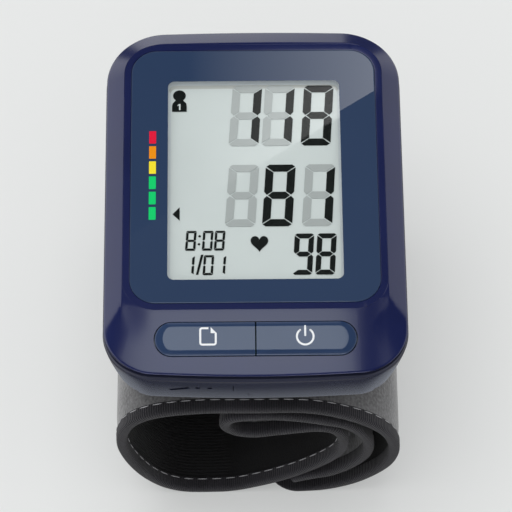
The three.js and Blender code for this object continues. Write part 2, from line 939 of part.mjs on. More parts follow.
// Door in the left wall and the cut that it fills
const doorFloorClearance = 0.4;
const doorTopMargin = 0.9;
const doorLimitsY = [bayFront, bayBack];
const doorLimitsZ = [floorTop + doorFloorClearance, shellTop - doorTopMargin];
const doorRibLength = 9;
const doorRibHeight = 0.7;
const doorRibPitch = 1.9;
const doorRibProud = 0.45;
const doorRibCount = 4;
function leftOf(x, yLimits, zLimits) {
  return boxSolid([-bodyWidth / 2 - overrun, x], yLimits, zLimits);
}
const doorMiddleY = (doorLimitsY[0] + doorLimitsY[1]) / 2;
const doorMiddleZ = (doorLimitsZ[0] + doorLimitsZ[1]) / 2;
const proudShell = solidOf(
  loftGeometry([0, ...wallShares, 1].map((share) => shellRing(share, -doorRibProud))),
);
const doorRibs = Array.from({ length: doorRibCount }, (_, i) => {
  const z = doorMiddleZ + (i - (doorRibCount - 1) / 2) * doorRibPitch;
  return leftOf(
    doorInner,
    grownLimits([doorMiddleY, doorMiddleY], doorRibLength / 2),
    grownLimits([z, z], doorRibHeight / 2),
  ).intersect(proudShell);
});
addPiece(
  "battery_door",
  joined(leftOf(doorInner, doorLimitsY, doorLimitsZ).intersect(shellOuter), ...doorRibs),
  navyPlastic,
);

// Clip plate that holds the cuff, hooked through the floor
const plateWidth = 30;
const plateFrontMargin = 14.8;
const plateBackMargin = 4.1;
const plateThickness = 1;
const plateCornerRadius = 4;
const padMargin = 1.2;
const hookWidth = 3;
const hookThickness = 1.2;
const hookLip = 0.6;
const hookHeight = 0.9;
const hookEdgeMargin = 3;
const plateBounds = {
  left: -plateWidth / 2,
  right: plateWidth / 2,
  front: bodyFront + plateFrontMargin,
  back: bayFront - plateBackMargin,
  frontRadius: plateCornerRadius,
  backRadius: plateCornerRadius,
};
const hookPlaces = [plateBounds.front + hookEdgeMargin, plateBounds.back - hookEdgeMargin].flatMap(
  (y) => [-1, 1].map((side) => [side, side * (plateWidth / 2 - hookEdgeMargin), y]),
);
const hooks = hookPlaces.map(([side, x, y]) => {
  const lipX = x + (side * hookLip) / 2;
  return joined(
    padSolid(x, y, hookThickness, hookWidth, [shellBottom, padTop + gap + hookHeight]),
    padSolid(lipX, y, hookThickness + hookLip, hookWidth, [padTop + gap, padTop + gap + hookHeight]),
  );
});
addPiece(
  "cuff_clip_plate",
  cutBy(
    joined(
      solidOf(
        roundedLoft(
          plateBounds,
          [
            [0, shellBottom],
            [0, shellBottom + plateThickness],
          ],
          4,
        ),
      ),
      ...hooks,
    ),
    postSolid(airX, airY, nozzleHoleRadius, [shellBottom - overrun, padTop + overrun]),
  ),
  navyPlastic,
);

// Inside and outside features of the bottom cover
const boardPostRadius = 2;
const boardPostInset = 3;
const boardPostShares = [0.375, 0.9375];
const doorSill = 2;
const soundHoleRadius = 0.45;
const soundHolePitch = 2.5;
const markHeightShare = 0.45;
const nailSlotLength = 4.7;
const nailSlotHeight = 0.55;
const nailSlotDepth = 0.7;
const nailSlotOffset = 6.3;
const nailSlotTilt = THREE.MathUtils.degToRad(14);
const gripLength = 5.5;
const gripHeight = 1.5;
const gripDepth = 1.3;
const gripCornerShare = 0.71;
const markZ = shellBottom + markHeightShare * shellHeight;
const clipPad = solidOf(
  roundedLoft(
    grownBounds(plateBounds, padMargin),
    [
      [0, shellBottom],
      [0, padTop],
    ],
    4,
  ),
);
const bosses = screwPlaces.map(([x, y]) => postSolid(x, y, bossRadius, [shellBottom, bossTop]));
const [frontPostY, backPostY] = boardPostShares.map((share) =>
  THREE.MathUtils.lerp(boardFront, boardBack, share),
);
const boardPosts = [
  [boardLeft + boardPostInset, backPostY],
  [boardLeft + boardPostInset, frontPostY],
  [airX, backPostY],
  [boardRight - boardPostInset, frontPostY],
].map(([x, y]) => postSolid(x, y, boardPostRadius, [shellBottom, boardBottom - gap], barSides));
const bayWalls = [
  boxSolid([doorInner, bayRight], [bayFront - bayWall, bayFront], [shellBottom, cellZ + doorSill]),
  boxSolid(
    [bayRight + contactThickness + gap, bayRight + contactThickness + gap + bayWall],
    [bayFront - bayWall, bayBack],
    [shellBottom, cellZ + contactWidth / 2],
  ),
];
const fittings = joined(...bayWalls, ...boardPosts, ...bosses, clipPad).intersect(shellOuter);
const screwHoles = screwPlaces.flatMap(([x, y]) => [
  postSolid(x, y, screwRadius + gap, [shellBottom - overrun, bossTop + overrun], holeSides),
  postSolid(x, y, screwHeadRadius + gap, [
    shellBottom - overrun,
    shellBottom + gap + screwHeadHeight + gap,
  ]),
]);
const hookHoles = hookPlaces.map(([side, x, y]) =>
  joined(
    padSolid(x, y, hookThickness + 2 * gap, hookWidth + 2 * gap, [shellBottom, padTop + overrun]),
    padSolid(x + side * hookLip, y, hookThickness + 2 * gap, hookWidth + 2 * gap, [
      padTop + gap / 2,
      padTop + overrun,
    ]),
  ),
);
const plateRecess = solidOf(
  roundedLoft(
    grownBounds(plateBounds, gap),
    [
      [0, shellBottom - overrun],
      [0, shellBottom + plateThickness + gap],
    ],
    4,
  ),
);
const soundHoles = [-1, 1].map((side) =>
  barAlongY(
    buzzerX + (side * soundHolePitch) / 2,
    [bodyFront - overrun, bodyFront + overrun + shellWall],
    markZ,
    soundHoleRadius,
    holeSides,
  ),
);
const nailSlot = solidOf(
  new THREE.BoxGeometry(nailSlotLength, 2 * (nailSlotDepth + footInset), nailSlotHeight)
    .rotateY(-nailSlotTilt)
    .translate(buzzerX - nailSlotOffset, bodyFront, markZ),
);
const gripCuts = [-1, 1].map((side) =>
  solidOf(
    new THREE.BoxGeometry(gripLength, 2 * gripDepth, 2 * gripHeight)
      .rotateZ((side * Math.PI) / 4)
      .translate(
        side * (bodyWidth / 2 - frontCornerRadius + gripCornerShare * (frontCornerRadius - footInset)),
        bodyFront + frontCornerRadius - gripCornerShare * (frontCornerRadius - footInset),
        shellBottom,
      ),
  ),
);
addPiece(
  "bottom_cover",
  cutBy(
    joined(shellOuter.subtract(shellHollow), fittings),
    ...screwHoles,
    plateRecess,
    ...hookHoles,
    postSolid(airX, airY, nozzleHoleRadius, [shellBottom - overrun, padTop + overrun]),
    leftOf(doorInner + shellWall, grownLimits(doorLimitsY, gap), grownLimits(doorLimitsZ, gap)),
    ...soundHoles,
    nailSlot,
    ...gripCuts,
  ),
  navyPlastic,
);

// Screws, driven up from below
const screwDriveWidth = 0.6;
const screwDriveDepth = 0.6;
screwPlaces.forEach(([x, y], i) => {
  const drive = [
    padSolid(0, 0, screwHeadRadius, screwDriveWidth, [-overrun, screwDriveDepth]),
    padSolid(0, 0, screwDriveWidth, screwHeadRadius, [-overrun, screwDriveDepth]),
  ];
  const screw = joined(
    postSolid(0, 0, screwHeadRadius, [0, screwHeadHeight], barSides),
    postSolid(0, 0, screwRadius, [0, screwLength], holeSides),
  );
  addPiece(
    "housing_screw_" + (i + 1),
    cutBy(screw, ...drive),
    steelMaterial,
    new THREE.Vector3(x, y, shellBottom + gap),
  );
});

// Cuff: one padded strap. Its middle line, from the inner end to the outer end, is given in shares of
// the cuff's half width and of its height between the middles of the lowest and highest layers. A third
// number counts the layers between the point and the top one.
const standCut = 0.5;
const foldGap = 0.4;
const bindingBreadth = 3.5;
const bindingRound = 0.6;
const fabricInset = 0.12;
const liningThickness = 0.55;
const strapRoute = [
  [0.4, 0.165, 0],
  [0.54, 0.205, 0],
  [0.685, 0.3, 0],
  [0.785, 0.42, 0],
  [0.81, 0.55, 0],
  [0.755, 0.685, 0],
  [0.64, 0.795, 0],
  [0.49, 0.88, 0.5],
  [0.29, 0.965, 1],
  [0.1, 0.985, 1],
  [-0.07, 0.98, 1],
  [-0.185, 0.955, 1],
  [-0.238, 0.865, 0.6],
  [-0.222, 0.775, 0],
  [-0.15, 0.725, 0],
  [-0.03, 0.705, 0],
  [0.12, 0.725, 0],
  [0.28, 0.75, 0],
  [0.43, 0.765, 0],
  [0.545, 0.74, 0],
  [0.61, 0.665, 0],
  [0.625, 0.57, 0],
  [0.595, 0.465, 0],
  [0.5, 0.36, 0],
  [0.34, 0.24, 0],
  [0.17, 0.145, 0],
  [0, 0.07, 0],
  [-0.18, 0.015, 0],
  [-0.37, 0, 0],
  [-0.55, 0.01, 0],
  [-0.69, 0.065, 0],
  [-0.81, 0.17, 0],
  [-0.9, 0.31, 0],
  [-0.965, 0.46, 0],
  [-0.99, 0.6, 0],
  [-0.975, 0.72, 0],
  [-0.915, 0.835, 0],
  [-0.8, 0.92, 0],
  [-0.64, 0.97, 0],
  [-0.4, 1, 0],
  [-0.1, 1, 0],
  [0.22, 1, 0],
  [0.42, 0.98, 0],
  [0.62, 0.915, 0],
  [0.8, 0.82, 0],
  [0.93, 0.7, 0],
  [0.99, 0.57, 0],
  [0.995, 0.44, 0],
  [0.945, 0.31, 0],
  [0.83, 0.185, 0],
  [0.68, 0.08, 0],
  [0.5, 0.015, 0],
  [0.3, 0, 0],
  [0.06, 0, 0],
];
const stepsPerPoint = 3;
const lowestMiddle = strapThickness / 2 - standCut;
const highestMiddle = cuffHeight - strapThickness / 2;
const halfRun = (cuffWidth - strapThickness) / 2;
const strapCurve = new THREE.CatmullRomCurve3(
  strapRoute.map(([across, up, layers]) => {
    const z = THREE.MathUtils.lerp(lowestMiddle, highestMiddle, up);
    return new THREE.Vector3(across * halfRun, 0, z - layers * (strapThickness + foldGap));
  }),
  false,
  "centripetal",
);
const stationCount = (strapRoute.length - 1) * stepsPerPoint;

// Sweeps a section along part of the strap. A section point is its place along Y and its height above
// the middle line, and the section turns left seen from the strap's outer end.
function strapSolid(section, fromShare = 0, toShare = 1) {
  const first = Math.round(fromShare * stationCount);
  const last = Math.round(toShare * stationCount);
  const rings = [];
  for (let station = first; station <= last; station += 1) {
    const share = station / stationCount;
    const middle = strapCurve.getPoint(share);
    const tangent = strapCurve.getTangent(share);
    const outward = new THREE.Vector3(-tangent.z, 0, tangent.x);
    rings.push(
      section.map(([y, height]) => middle.clone().addScaledVector(outward, height).setY(y)),
    );
  }
  return solidOf(loftGeometry(rings));
}

function flatSection([yLow, yHigh], [low, high]) {
  return [
    [yLow, low],
    [yHigh, low],
    [yHigh, high],
    [yLow, high],
  ];
}

const ground = boxSolid([-cuffWidth, cuffWidth], [-strapBreadth, strapBreadth], [-cuffHeight, 0]);
const halfStrap = strapThickness / 2;
const bindingLimits = [-strapBreadth / 2, -strapBreadth / 2 + bindingBreadth];
const fabricLimits = [bindingLimits[1] + gap, -bindingLimits[1] - gap];
const fabricTop = halfStrap - fabricInset;
const fabricBottom = fabricTop - outerFabricThickness;
const liningBottom = -halfStrap + fabricInset;
const liningTop = liningBottom + liningThickness;
const fillLimits = [liningTop + gap, fabricBottom - gap];
const nozzleHole = postSolid(airX, airY, nozzleHoleRadius, [nozzleBottom - gap / 2, shellBottom]);
addPiece(
  "cuff_outer_fabric",
  cutBy(strapSolid(flatSection(fabricLimits, [fabricBottom, fabricTop])), ground, nozzleHole),
  velourMaterial,
);
addPiece(
  "cuff_lining",
  strapSolid(flatSection(fabricLimits, [liningBottom, liningTop])),
  liningMaterial,
);

// The bladder lies where the strap goes round the wrist's pulse side, and foam fills the rest
const bladderMargin = 5;
const bladderFromShare = 0.55;
const bladderToShare = 0.86;
const foamFromShare = 0.02;
const fillGapShare = 0.02;
const bladderLimitsY = grownLimits(fabricLimits, -bladderMargin);
addPiece(
  "cuff_bladder",
  strapSolid(flatSection(bladderLimitsY, fillLimits), bladderFromShare, bladderToShare),
  bladderMaterial,
);
addPiece(
  "cuff_padding",
  strapSolid(
    flatSection(bladderLimitsY, fillLimits),
    foamFromShare,
    bladderFromShare - fillGapShare,
  ),
  rubberMaterial,
);

// Binding tape along both long edges
const bindingSection = [
  [bindingLimits[0], -halfStrap + bindingRound],
  [bindingLimits[0] + bindingRound, -halfStrap],
  [bindingLimits[1], -halfStrap],
  [bindingLimits[1], halfStrap],
  [bindingLimits[0] + bindingRound, halfStrap],
  [bindingLimits[0], halfStrap - bindingRound],
];
const mirroredSection = bindingSection.map(([y, height]) => [-y, height]).reverse();
addPiece("cuff_binding_front", strapSolid(bindingSection).subtract(ground), bindingMaterial);
addPiece("cuff_binding_back", strapSolid(mirroredSection).subtract(ground), bindingMaterial);

// Hook patch on the lining side of the inner end
const hookPatchThickness = 0.6;
const hookPatchMargin = 8;
const hookPatchFromShare = 0.025;
const hookPatchToShare = 0.1;
addPiece(
  "hook_patch",
  strapSolid(
    flatSection(grownLimits(fabricLimits, -hookPatchMargin), [
      liningBottom - gap - hookPatchThickness,
      liningBottom - gap,
    ]),
    hookPatchFromShare,
    hookPatchToShare,
  ),
  rubberMaterial,
);

export default monitor;
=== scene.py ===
import json
import math

import bmesh
import bpy
from mathutils import Matrix, Vector, noise


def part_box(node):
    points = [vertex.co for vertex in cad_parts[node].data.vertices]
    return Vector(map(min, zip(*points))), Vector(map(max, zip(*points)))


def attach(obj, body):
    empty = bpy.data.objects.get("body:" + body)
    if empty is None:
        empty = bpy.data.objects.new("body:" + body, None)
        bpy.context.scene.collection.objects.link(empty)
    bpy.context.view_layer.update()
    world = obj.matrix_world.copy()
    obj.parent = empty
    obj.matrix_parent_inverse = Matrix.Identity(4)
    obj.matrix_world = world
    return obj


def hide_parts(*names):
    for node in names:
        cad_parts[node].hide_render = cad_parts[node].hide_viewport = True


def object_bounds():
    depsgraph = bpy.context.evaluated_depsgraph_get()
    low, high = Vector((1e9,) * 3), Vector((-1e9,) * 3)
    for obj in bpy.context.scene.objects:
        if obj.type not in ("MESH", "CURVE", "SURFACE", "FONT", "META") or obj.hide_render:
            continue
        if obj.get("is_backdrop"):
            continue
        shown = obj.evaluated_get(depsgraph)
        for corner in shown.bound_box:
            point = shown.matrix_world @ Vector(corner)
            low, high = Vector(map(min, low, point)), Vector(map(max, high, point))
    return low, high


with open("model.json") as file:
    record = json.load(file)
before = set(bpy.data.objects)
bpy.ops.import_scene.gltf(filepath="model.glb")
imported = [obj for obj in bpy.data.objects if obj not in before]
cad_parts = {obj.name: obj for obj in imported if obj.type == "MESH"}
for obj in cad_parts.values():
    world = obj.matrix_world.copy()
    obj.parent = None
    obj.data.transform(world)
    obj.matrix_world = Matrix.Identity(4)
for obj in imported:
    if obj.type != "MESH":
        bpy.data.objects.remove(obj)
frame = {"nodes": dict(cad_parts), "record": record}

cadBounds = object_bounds()
scene = bpy.context.scene
scene.view_settings.view_transform = "Standard"
millimetre = 0.001
housing = "housing"
slotOfNode = {row["node"]: row["material_slot"] for row in frame["record"]["subparts"]}


# A node's limits in millimetres
def limitsOf(node):
    low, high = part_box(node)
    return [v / millimetre for v in low], [v / millimetre for v in high]


def middleOf(node):
    return [(low + high) / 2 for low, high in zip(*limitsOf(node))]


coverLow, coverHigh = limitsOf("top_cover")
lensLow, lensHigh = limitsOf("display_lens")
shellLow, shellHigh = limitsOf("bottom_cover")
doorLow, doorHigh = limitsOf("battery_door")
lensCentreY = (lensLow[1] + lensHigh[1]) / 2
coverMiddleY = (coverLow[1] + coverHigh[1]) / 2
faceTop = coverHigh[2]
screwToCasing = 14.4
casingBottom = limitsOf("housing_screw_1")[0][2] + screwToCasing


def cosSin(angle):
    return math.cos(math.radians(angle)), math.sin(math.radians(angle))


def softStep(value):
    value = min(max(value, 0.0), 1.0)
    return value * value * (3 - 2 * value)


def addObject(name, data):
    thing = bpy.data.objects.new(name, data)
    scene.collection.objects.link(thing)
    return thing


def shadeMesh(mesh, sharpAngle):
    mesh.shade_smooth()
    mesh.set_sharp_from_angle(angle=math.radians(sharpAngle))


def addMesh(name, points, faces, materials=(), faceMaterials=None, sharpAngle=35):
    mesh = bpy.data.meshes.new(name)
    mesh.from_pydata([Vector(p) * millimetre for p in points], [], faces)
    for material in materials:
        mesh.materials.append(material)
    if faceMaterials:
        mesh.polygons.foreach_set("material_index", faceMaterials)
    mesh.validate()
    shadeMesh(mesh, sharpAngle)
    return addObject(name, mesh)


# Says which body a piece rides and which node it stands for, which is hidden; the slot name is not used
def dress(piece, body, slotName, node=None):
    if node:
        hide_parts(node)
    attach(piece, body)


# Bakes the modifiers of a piece into its mesh
def applyModifiers(piece, sharpAngle=None):
    bpy.context.view_layer.update()
    evaluated = piece.evaluated_get(bpy.context.evaluated_depsgraph_get())
    mesh = bpy.data.meshes.new_from_object(evaluated)
    piece.modifiers.clear()
    piece.data = mesh
    if sharpAngle is not None:
        shadeMesh(mesh, sharpAngle)
    return piece


# Cuts, trims or joins a piece with others, which are removed afterwards
def combinePiece(piece, tools, sharpAngle=None, operation="DIFFERENCE"):
    for tool in tools:
        change = piece.modifiers.new("change", "BOOLEAN")
        change.operation, change.solver, change.object = operation, "EXACT", tool
    applyModifiers(piece, sharpAngle)
    for tool in tools:
        bpy.data.objects.remove(tool)
    return piece


# Joins rings of equal count into a piece; closed joins the last ring to the first one
def loftPiece(name, rings, materials=(), closed=False, sharpAngle=35):
    count, faces = len(rings[0]), []
    for ring in range(len(rings) if closed else len(rings) - 1):
        here, there = ring * count, (ring + 1) % len(rings) * count
        for i in range(count):
            j = (i + 1) % count
            faces.append((here + i, here + j, there + j, there + i))
    if not closed:
        faces.append(tuple(reversed(range(count))))
        faces.append(tuple(range((len(rings) - 1) * count, len(rings) * count)))
    return addMesh(name, [p for ring in rings for p in ring], faces, materials, sharpAngle=sharpAngle)


# Points and outward normals round a rectangle with rounded corners, counterclockwise from the front right
# corner. Steps are those of a front corner, a back corner, a side and an end
def roundedOutline(low, high, frontRadius, backRadius, steps):
    (left, front), (right, back) = low[:2], high[:2]
    outline = []

    def corner(x, y, radius, start, count):
        for i in range(count + 1):
            c, s = cosSin(start + 90 * i / count)
            outline.append((x + radius * c, y + radius * s, c, s))

    def straight(x0, y0, x1, y1, count, bias=1.0, towardsEnd=False):
        nx, ny = (y1 - y0), -(x1 - x0)
        size = math.hypot(nx, ny)
        for i in range(1, count):
            share = i / count
            share = 1 - (1 - share) ** bias if towardsEnd else share ** bias
            outline.append((x0 + (x1 - x0) * share, y0 + (y1 - y0) * share, nx / size, ny / size))

    corner(right - frontRadius, front + frontRadius, frontRadius, -90, steps[0])
    straight(right, front + frontRadius, right, back - backRadius, steps[2], 1.7)
    corner(right - backRadius, back - backRadius, backRadius, 0, steps[1])
    straight(right - backRadius, back, left + backRadius, back, steps[3])
    corner(left + backRadius, back - backRadius, backRadius, 90, steps[1])
    straight(left, back - backRadius, left, front + frontRadius, steps[2], 1.7, True)
    corner(left + frontRadius, front + frontRadius, frontRadius, 180, steps[0])
    straight(left + frontRadius, front, right - frontRadius, front, steps[3])
    return outline


def growOutline(outline, growth):
    return [(x + nx * growth, y + ny * growth) for x, y, nx, ny in outline]


def levelRing(outline, growth, z):
    return [(x, y, z) for x, y in growOutline(outline, growth)]


def blendRings(first, second, share):
    return [(a[0] + (b[0] - a[0]) * share, a[1] + (b[1] - a[1]) * share) for a, b in zip(first, second)]


def roundedShape(left, right, front, back, radius, steps=6):
    return growOutline(roundedOutline((left, front), (right, back), radius, radius, (steps, steps, 1, 1)), 0)


def circle(x, y, radius, steps=28, start=0.0, turn=360.0):
    directions = [cosSin(start + turn * i / steps) for i in range(steps)]
    return [(x + radius * c, y + radius * s) for c, s in directions]


# Replaces the corners of a chain of points by short curves
def roundedChain(chain, radii, steps=6):
    result = [chain[0]]
    for i in range(1, len(chain) - 1):
        here, before, after = Vector(chain[i]), Vector(chain[i - 1]), Vector(chain[i + 1])
        back, ahead = before - here, after - here
        reach = min(radii[i], 0.45 * back.length, 0.45 * ahead.length)
        a, b = here + back.normalized() * reach, here + ahead.normalized() * reach
        for k in range(steps + 1):
            t = k / steps
            result.append(tuple(a * (1 - t) ** 2 + here * 2 * t * (1 - t) + b * t * t))
    result.append(chain[-1])
    return result


print("stage: camera")
view = {
    "focalLength": 221.92,
    "sensorWidth": 36,
    "elevation": 61.0,
    "azimuth": -0.5314,
    "distance": 709.104,
    "target": (0.2329, -16.4323, 64.7),
}
(level, rise), (ahead, aside) = cosSin(view["elevation"]), cosSin(view["azimuth"])
lookAlong = Vector((-aside * level, ahead * level, -rise))
cameraPlace = Vector(view["target"]) - lookAlong * view["distance"]
cameraData = bpy.data.cameras.new("camera")
cameraData.lens, cameraData.sensor_width = view["focalLength"], view["sensorWidth"]
cameraData.clip_start, cameraData.clip_end = 0.01, 50
camera = addObject("camera", cameraData)
camera.location = cameraPlace * millimetre
camera.rotation_euler = lookAlong.to_track_quat("-Z", "Y").to_euler()
scene.camera = camera


print("stage: materials")


# Sets or links the named inputs of a node
def feed(tree, node, values):
    for label, value in values.items():
        if isinstance(value, bpy.types.NodeSocket):
            tree.links.new(value, node.inputs[label])
        else:
            node.inputs[label].default_value = value
    return node


def addNode(tree, kind, values=None, **settings):
    node = tree.nodes.new(kind)
    for key, value in settings.items():
        setattr(node, key, value)
    return feed(tree, node, values or {})


def addMath(tree, operation, *values):
    return addNode(tree, "ShaderNodeMath", dict(enumerate(values)), operation=operation).outputs[0]


# A surface point's place along each axis, in its piece's own coordinates
def addAxes(tree, kind="Object"):
    place = addNode(tree, "ShaderNodeTexCoord").outputs[kind]
    return addNode(tree, "ShaderNodeSeparateXYZ", {"Vector": place}).outputs


# Maps a factor from its usual span to other limits
def addRange(tree, factor, low, high, fromLow=0.3, fromHigh=0.7):
    limits = {"From Min": fromLow, "From Max": fromHigh, "To Min": low, "To Max": high}
    return addNode(tree, "ShaderNodeMapRange", {"Value": factor, **limits}).outputs["Result"]


def addMix(tree, factor, first, second):
    values = {"Factor": factor, "A": (*first, 1), "B": (*second, 1)}
    return addNode(tree, "ShaderNodeMix", values, data_type="RGBA").outputs["Result"]


# A node group with its sockets: a number starts a float socket, a word names another kind
def startGroup(name, kind, inputs, outputs):
    group = bpy.data.node_groups.new(name, kind)
    for way, sockets in (("INPUT", inputs), ("OUTPUT", outputs)):
        for label, start in sockets.items():
            isWord = isinstance(start, str)
            sort = "NodeSocket" + (start if isWord else "Float")
            socket = group.interface.new_socket(label, in_out=way, socket_type=sort)
            if not isWord:
                socket.default_value = start
    return group, group.nodes.new("NodeGroupInput").outputs, group.nodes.new("NodeGroupOutput").inputs


# Noise at two scales on the piece's own coordinates, for tone and for bump height
def grainGroup():
    scales = {"Fine Scale": 4000.0, "Broad Scale": 60.0}
    group, entry, leave = startGroup("surfaceGrain", "ShaderNodeTree", scales, {"Tone": 0.0, "Height": 0.0})
    place = addNode(group, "ShaderNodeTexCoord").outputs["Object"]
    for label, detail, target in (("Fine Scale", 2.0, "Height"), ("Broad Scale", 3.0, "Tone")):
        texture = addNode(group, "ShaderNodeTexNoise", {"Vector": place, "Scale": entry[label], "Detail": detail})
        group.links.new(texture.outputs["Fac"], leave[target])
    return group


surfaceGrain = grainGroup()


def startMaterial(name):
    material = bpy.data.materials.new(name)
    material.use_nodes = True
    return material, material.node_tree, material.node_tree.nodes["Principled BSDF"]


def addGrain(tree, fine, broad):
    scales = {"Fine Scale": fine, "Broad Scale": broad}
    return addNode(tree, "ShaderNodeGroup", scales, node_tree=surfaceGrain).outputs


def addTone(tree, grain, first, second):
    return addMix(tree, addRange(tree, grain["Tone"], 0, 1), first, second)


def addBump(tree, shader, height, distance):
    bump = addNode(tree, "ShaderNodeBump", {"Distance": distance * millimetre, "Strength": 1.0, "Height": height})
    tree.links.new(bump.outputs["Normal"], shader.inputs["Normal"])


# Moulded plastic, metal and rubber: tone and roughness vary slowly, and the bump is fine
def mouldedMaterial(name, colour, roughness, spread=0.12, fine=4000.0, bump=0.004, metallic=0.0, coat=0.0, ior=1.5):
    material, tree, shader = startMaterial(name)
    grain = addGrain(tree, fine, 60.0)
    darker, lighter = [c * (1 - spread) for c in colour], [c * (1 + spread) for c in colour]
    feed(tree, shader, {
        "Base Color": addTone(tree, grain, darker, lighter),
        "Roughness": addRange(tree, grain["Tone"], roughness * 0.93, roughness * 1.07),
        "Metallic": metallic,
        "IOR": ior,
        "Coat Weight": coat,
        "Coat Roughness": 0.012,
    })
    if bump:
        addBump(tree, shader, grain["Height"], bump)
    return material


casingPlastic = mouldedMaterial("casingPlastic", (0.0062, 0.0115, 0.07), 0.24, 0.08, 5000, 0.0015)
# The shell's plastic is the casing's navy made greyer and lighter: painted light that stands in for the pale floor
# its wall mirrors
shellPlasticPaintedLight = mouldedMaterial("shellPlasticPaintedLight", (0.024, 0.027, 0.052), 0.17, 0.08, 5000, 0.0015)
keyPlastic = mouldedMaterial("keyPlastic", (0.021, 0.044, 0.108), 0.19, 0.05, 5000, 0.0015)
whitePlastic = mouldedMaterial("whitePlastic", (0.62, 0.63, 0.62), 0.5)
blackPlastic = mouldedMaterial("blackPlastic", (0.018, 0.018, 0.02), 0.45)
rubberBlack = mouldedMaterial("rubberBlack", (0.02, 0.02, 0.021), 0.8, bump=0.01)
siliconeTube = mouldedMaterial("siliconeTube", (0.6, 0.62, 0.6), 0.35)
boardGreen = mouldedMaterial("boardGreen", (0.012, 0.1, 0.035), 0.4)
steelPlated = mouldedMaterial("steelPlated", (0.55, 0.56, 0.57), 0.28, metallic=1.0)
brassPlain = mouldedMaterial("brassPlain", (0.6, 0.44, 0.17), 0.32, metallic=1.0)
cellWrap = mouldedMaterial("cellWrap", (0.05, 0.058, 0.07), 0.3, metallic=0.4)
bladderFilm = mouldedMaterial("bladderFilm", (0.25, 0.27, 0.29), 0.35)
foamDark = mouldedMaterial("foamDark", (0.03, 0.03, 0.03), 0.95, fine=1500, bump=0.08)
lcdField = mouldedMaterial("lcdField", (0.59, 0.655, 0.645), 0.15, 0.015, coat=0.3)
lcdRim = mouldedMaterial("lcdRim", (0.54, 0.6, 0.62), 0.15, 0.03, coat=0.75)
# A darker grey for the band along the window's top edge: painted shade of the lens print and the recess wall
lcdPaintedShade = mouldedMaterial("lcdPaintedShade", (0.47, 0.5, 0.475), 0.15, 0.03, coat=0.75)
segmentLit = mouldedMaterial("segmentLit", (0.01, 0.0125, 0.012), 0.1, 0.1, ior=1.38)
segmentFaint = mouldedMaterial("segmentFaint", (0.37, 0.41, 0.405), 0.45, 0.02, coat=0.75)
markWhite = mouldedMaterial("markWhite", (0.78, 0.8, 0.83), 0.4, 0.03)
threadPale = mouldedMaterial("threadPale", (0.42, 0.42, 0.44), 0.7, 0.1, 2500, 0.02)

# The window's edge is soft, and the window widens a little below the lens's top
lensWindow = {
    "Centre X": 0.1,
    "Centre Y": lensCentreY - 1.25,
    "Half Width": 19.8,
    "Half Height": 26.15,
    "Corner Radius": 1.5,
    "Top": faceTop,
}
windowEdge = {"soft": 0.06, "below": 0.05, "widening": 3.0}


def windowMask():
    group, entry, leave = startGroup("windowMask", "ShaderNodeTree", dict.fromkeys(lensWindow, 0.0), {"Mask": 0.0})
    axes, radius, soft = addAxes(group), entry["Corner Radius"], windowEdge["soft"] * millimetre

    def step(operation, *values):
        return addMath(group, operation, *values)

    beyond = []
    for axis, centre, half in (("X", "Centre X", "Half Width"), ("Y", "Centre Y", "Half Height")):
        away = step("ABSOLUTE", step("SUBTRACT", axes[axis], entry[centre]))
        beyond.append(step("SUBTRACT", away, step("SUBTRACT", entry[half], radius)))
    outX, outY = step("MAXIMUM", beyond[0], 0.0), step("MAXIMUM", beyond[1], 0.0)
    outside = step("SQRT", step("ADD", step("MULTIPLY", outX, outX), step("MULTIPLY", outY, outY)))
    inside = step("MINIMUM", step("MAXIMUM", beyond[0], beyond[1]), 0.0)
    depth = step("SUBTRACT", step("SUBTRACT", entry["Top"], axes["Z"]), windowEdge["below"] * millimetre)
    wider = step("MULTIPLY", step("MAXIMUM", depth, 0.0), windowEdge["widening"])
    distance = step("SUBTRACT", step("SUBTRACT", step("ADD", outside, inside), radius), wider)
    limits = {"Value": distance, "From Min": -soft, "From Max": soft}
    edge = addNode(group, "ShaderNodeMapRange", limits, interpolation_type="SMOOTHSTEP")
    group.links.new(edge.outputs["Result"], leave["Mask"])
    return group


# Printed lens: opaque blue, clear inside a rounded window
def lensMaterial():
    material, tree, shader = startMaterial("lensPrint")
    window = {label: value * millimetre for label, value in lensWindow.items()}
    mask, grain = addNode(tree, "ShaderNodeGroup", window, node_tree=windowMask()), addGrain(tree, 3000.0, 25.0)
    feed(tree, shader, {
        "Base Color": addTone(tree, grain, (0.0262, 0.0478, 0.103), (0.0295, 0.053, 0.112)),
        "Roughness": addRange(tree, grain["Tone"], 0.006, 0.012),
        "Alpha": mask.outputs["Mask"],
    })
    return material


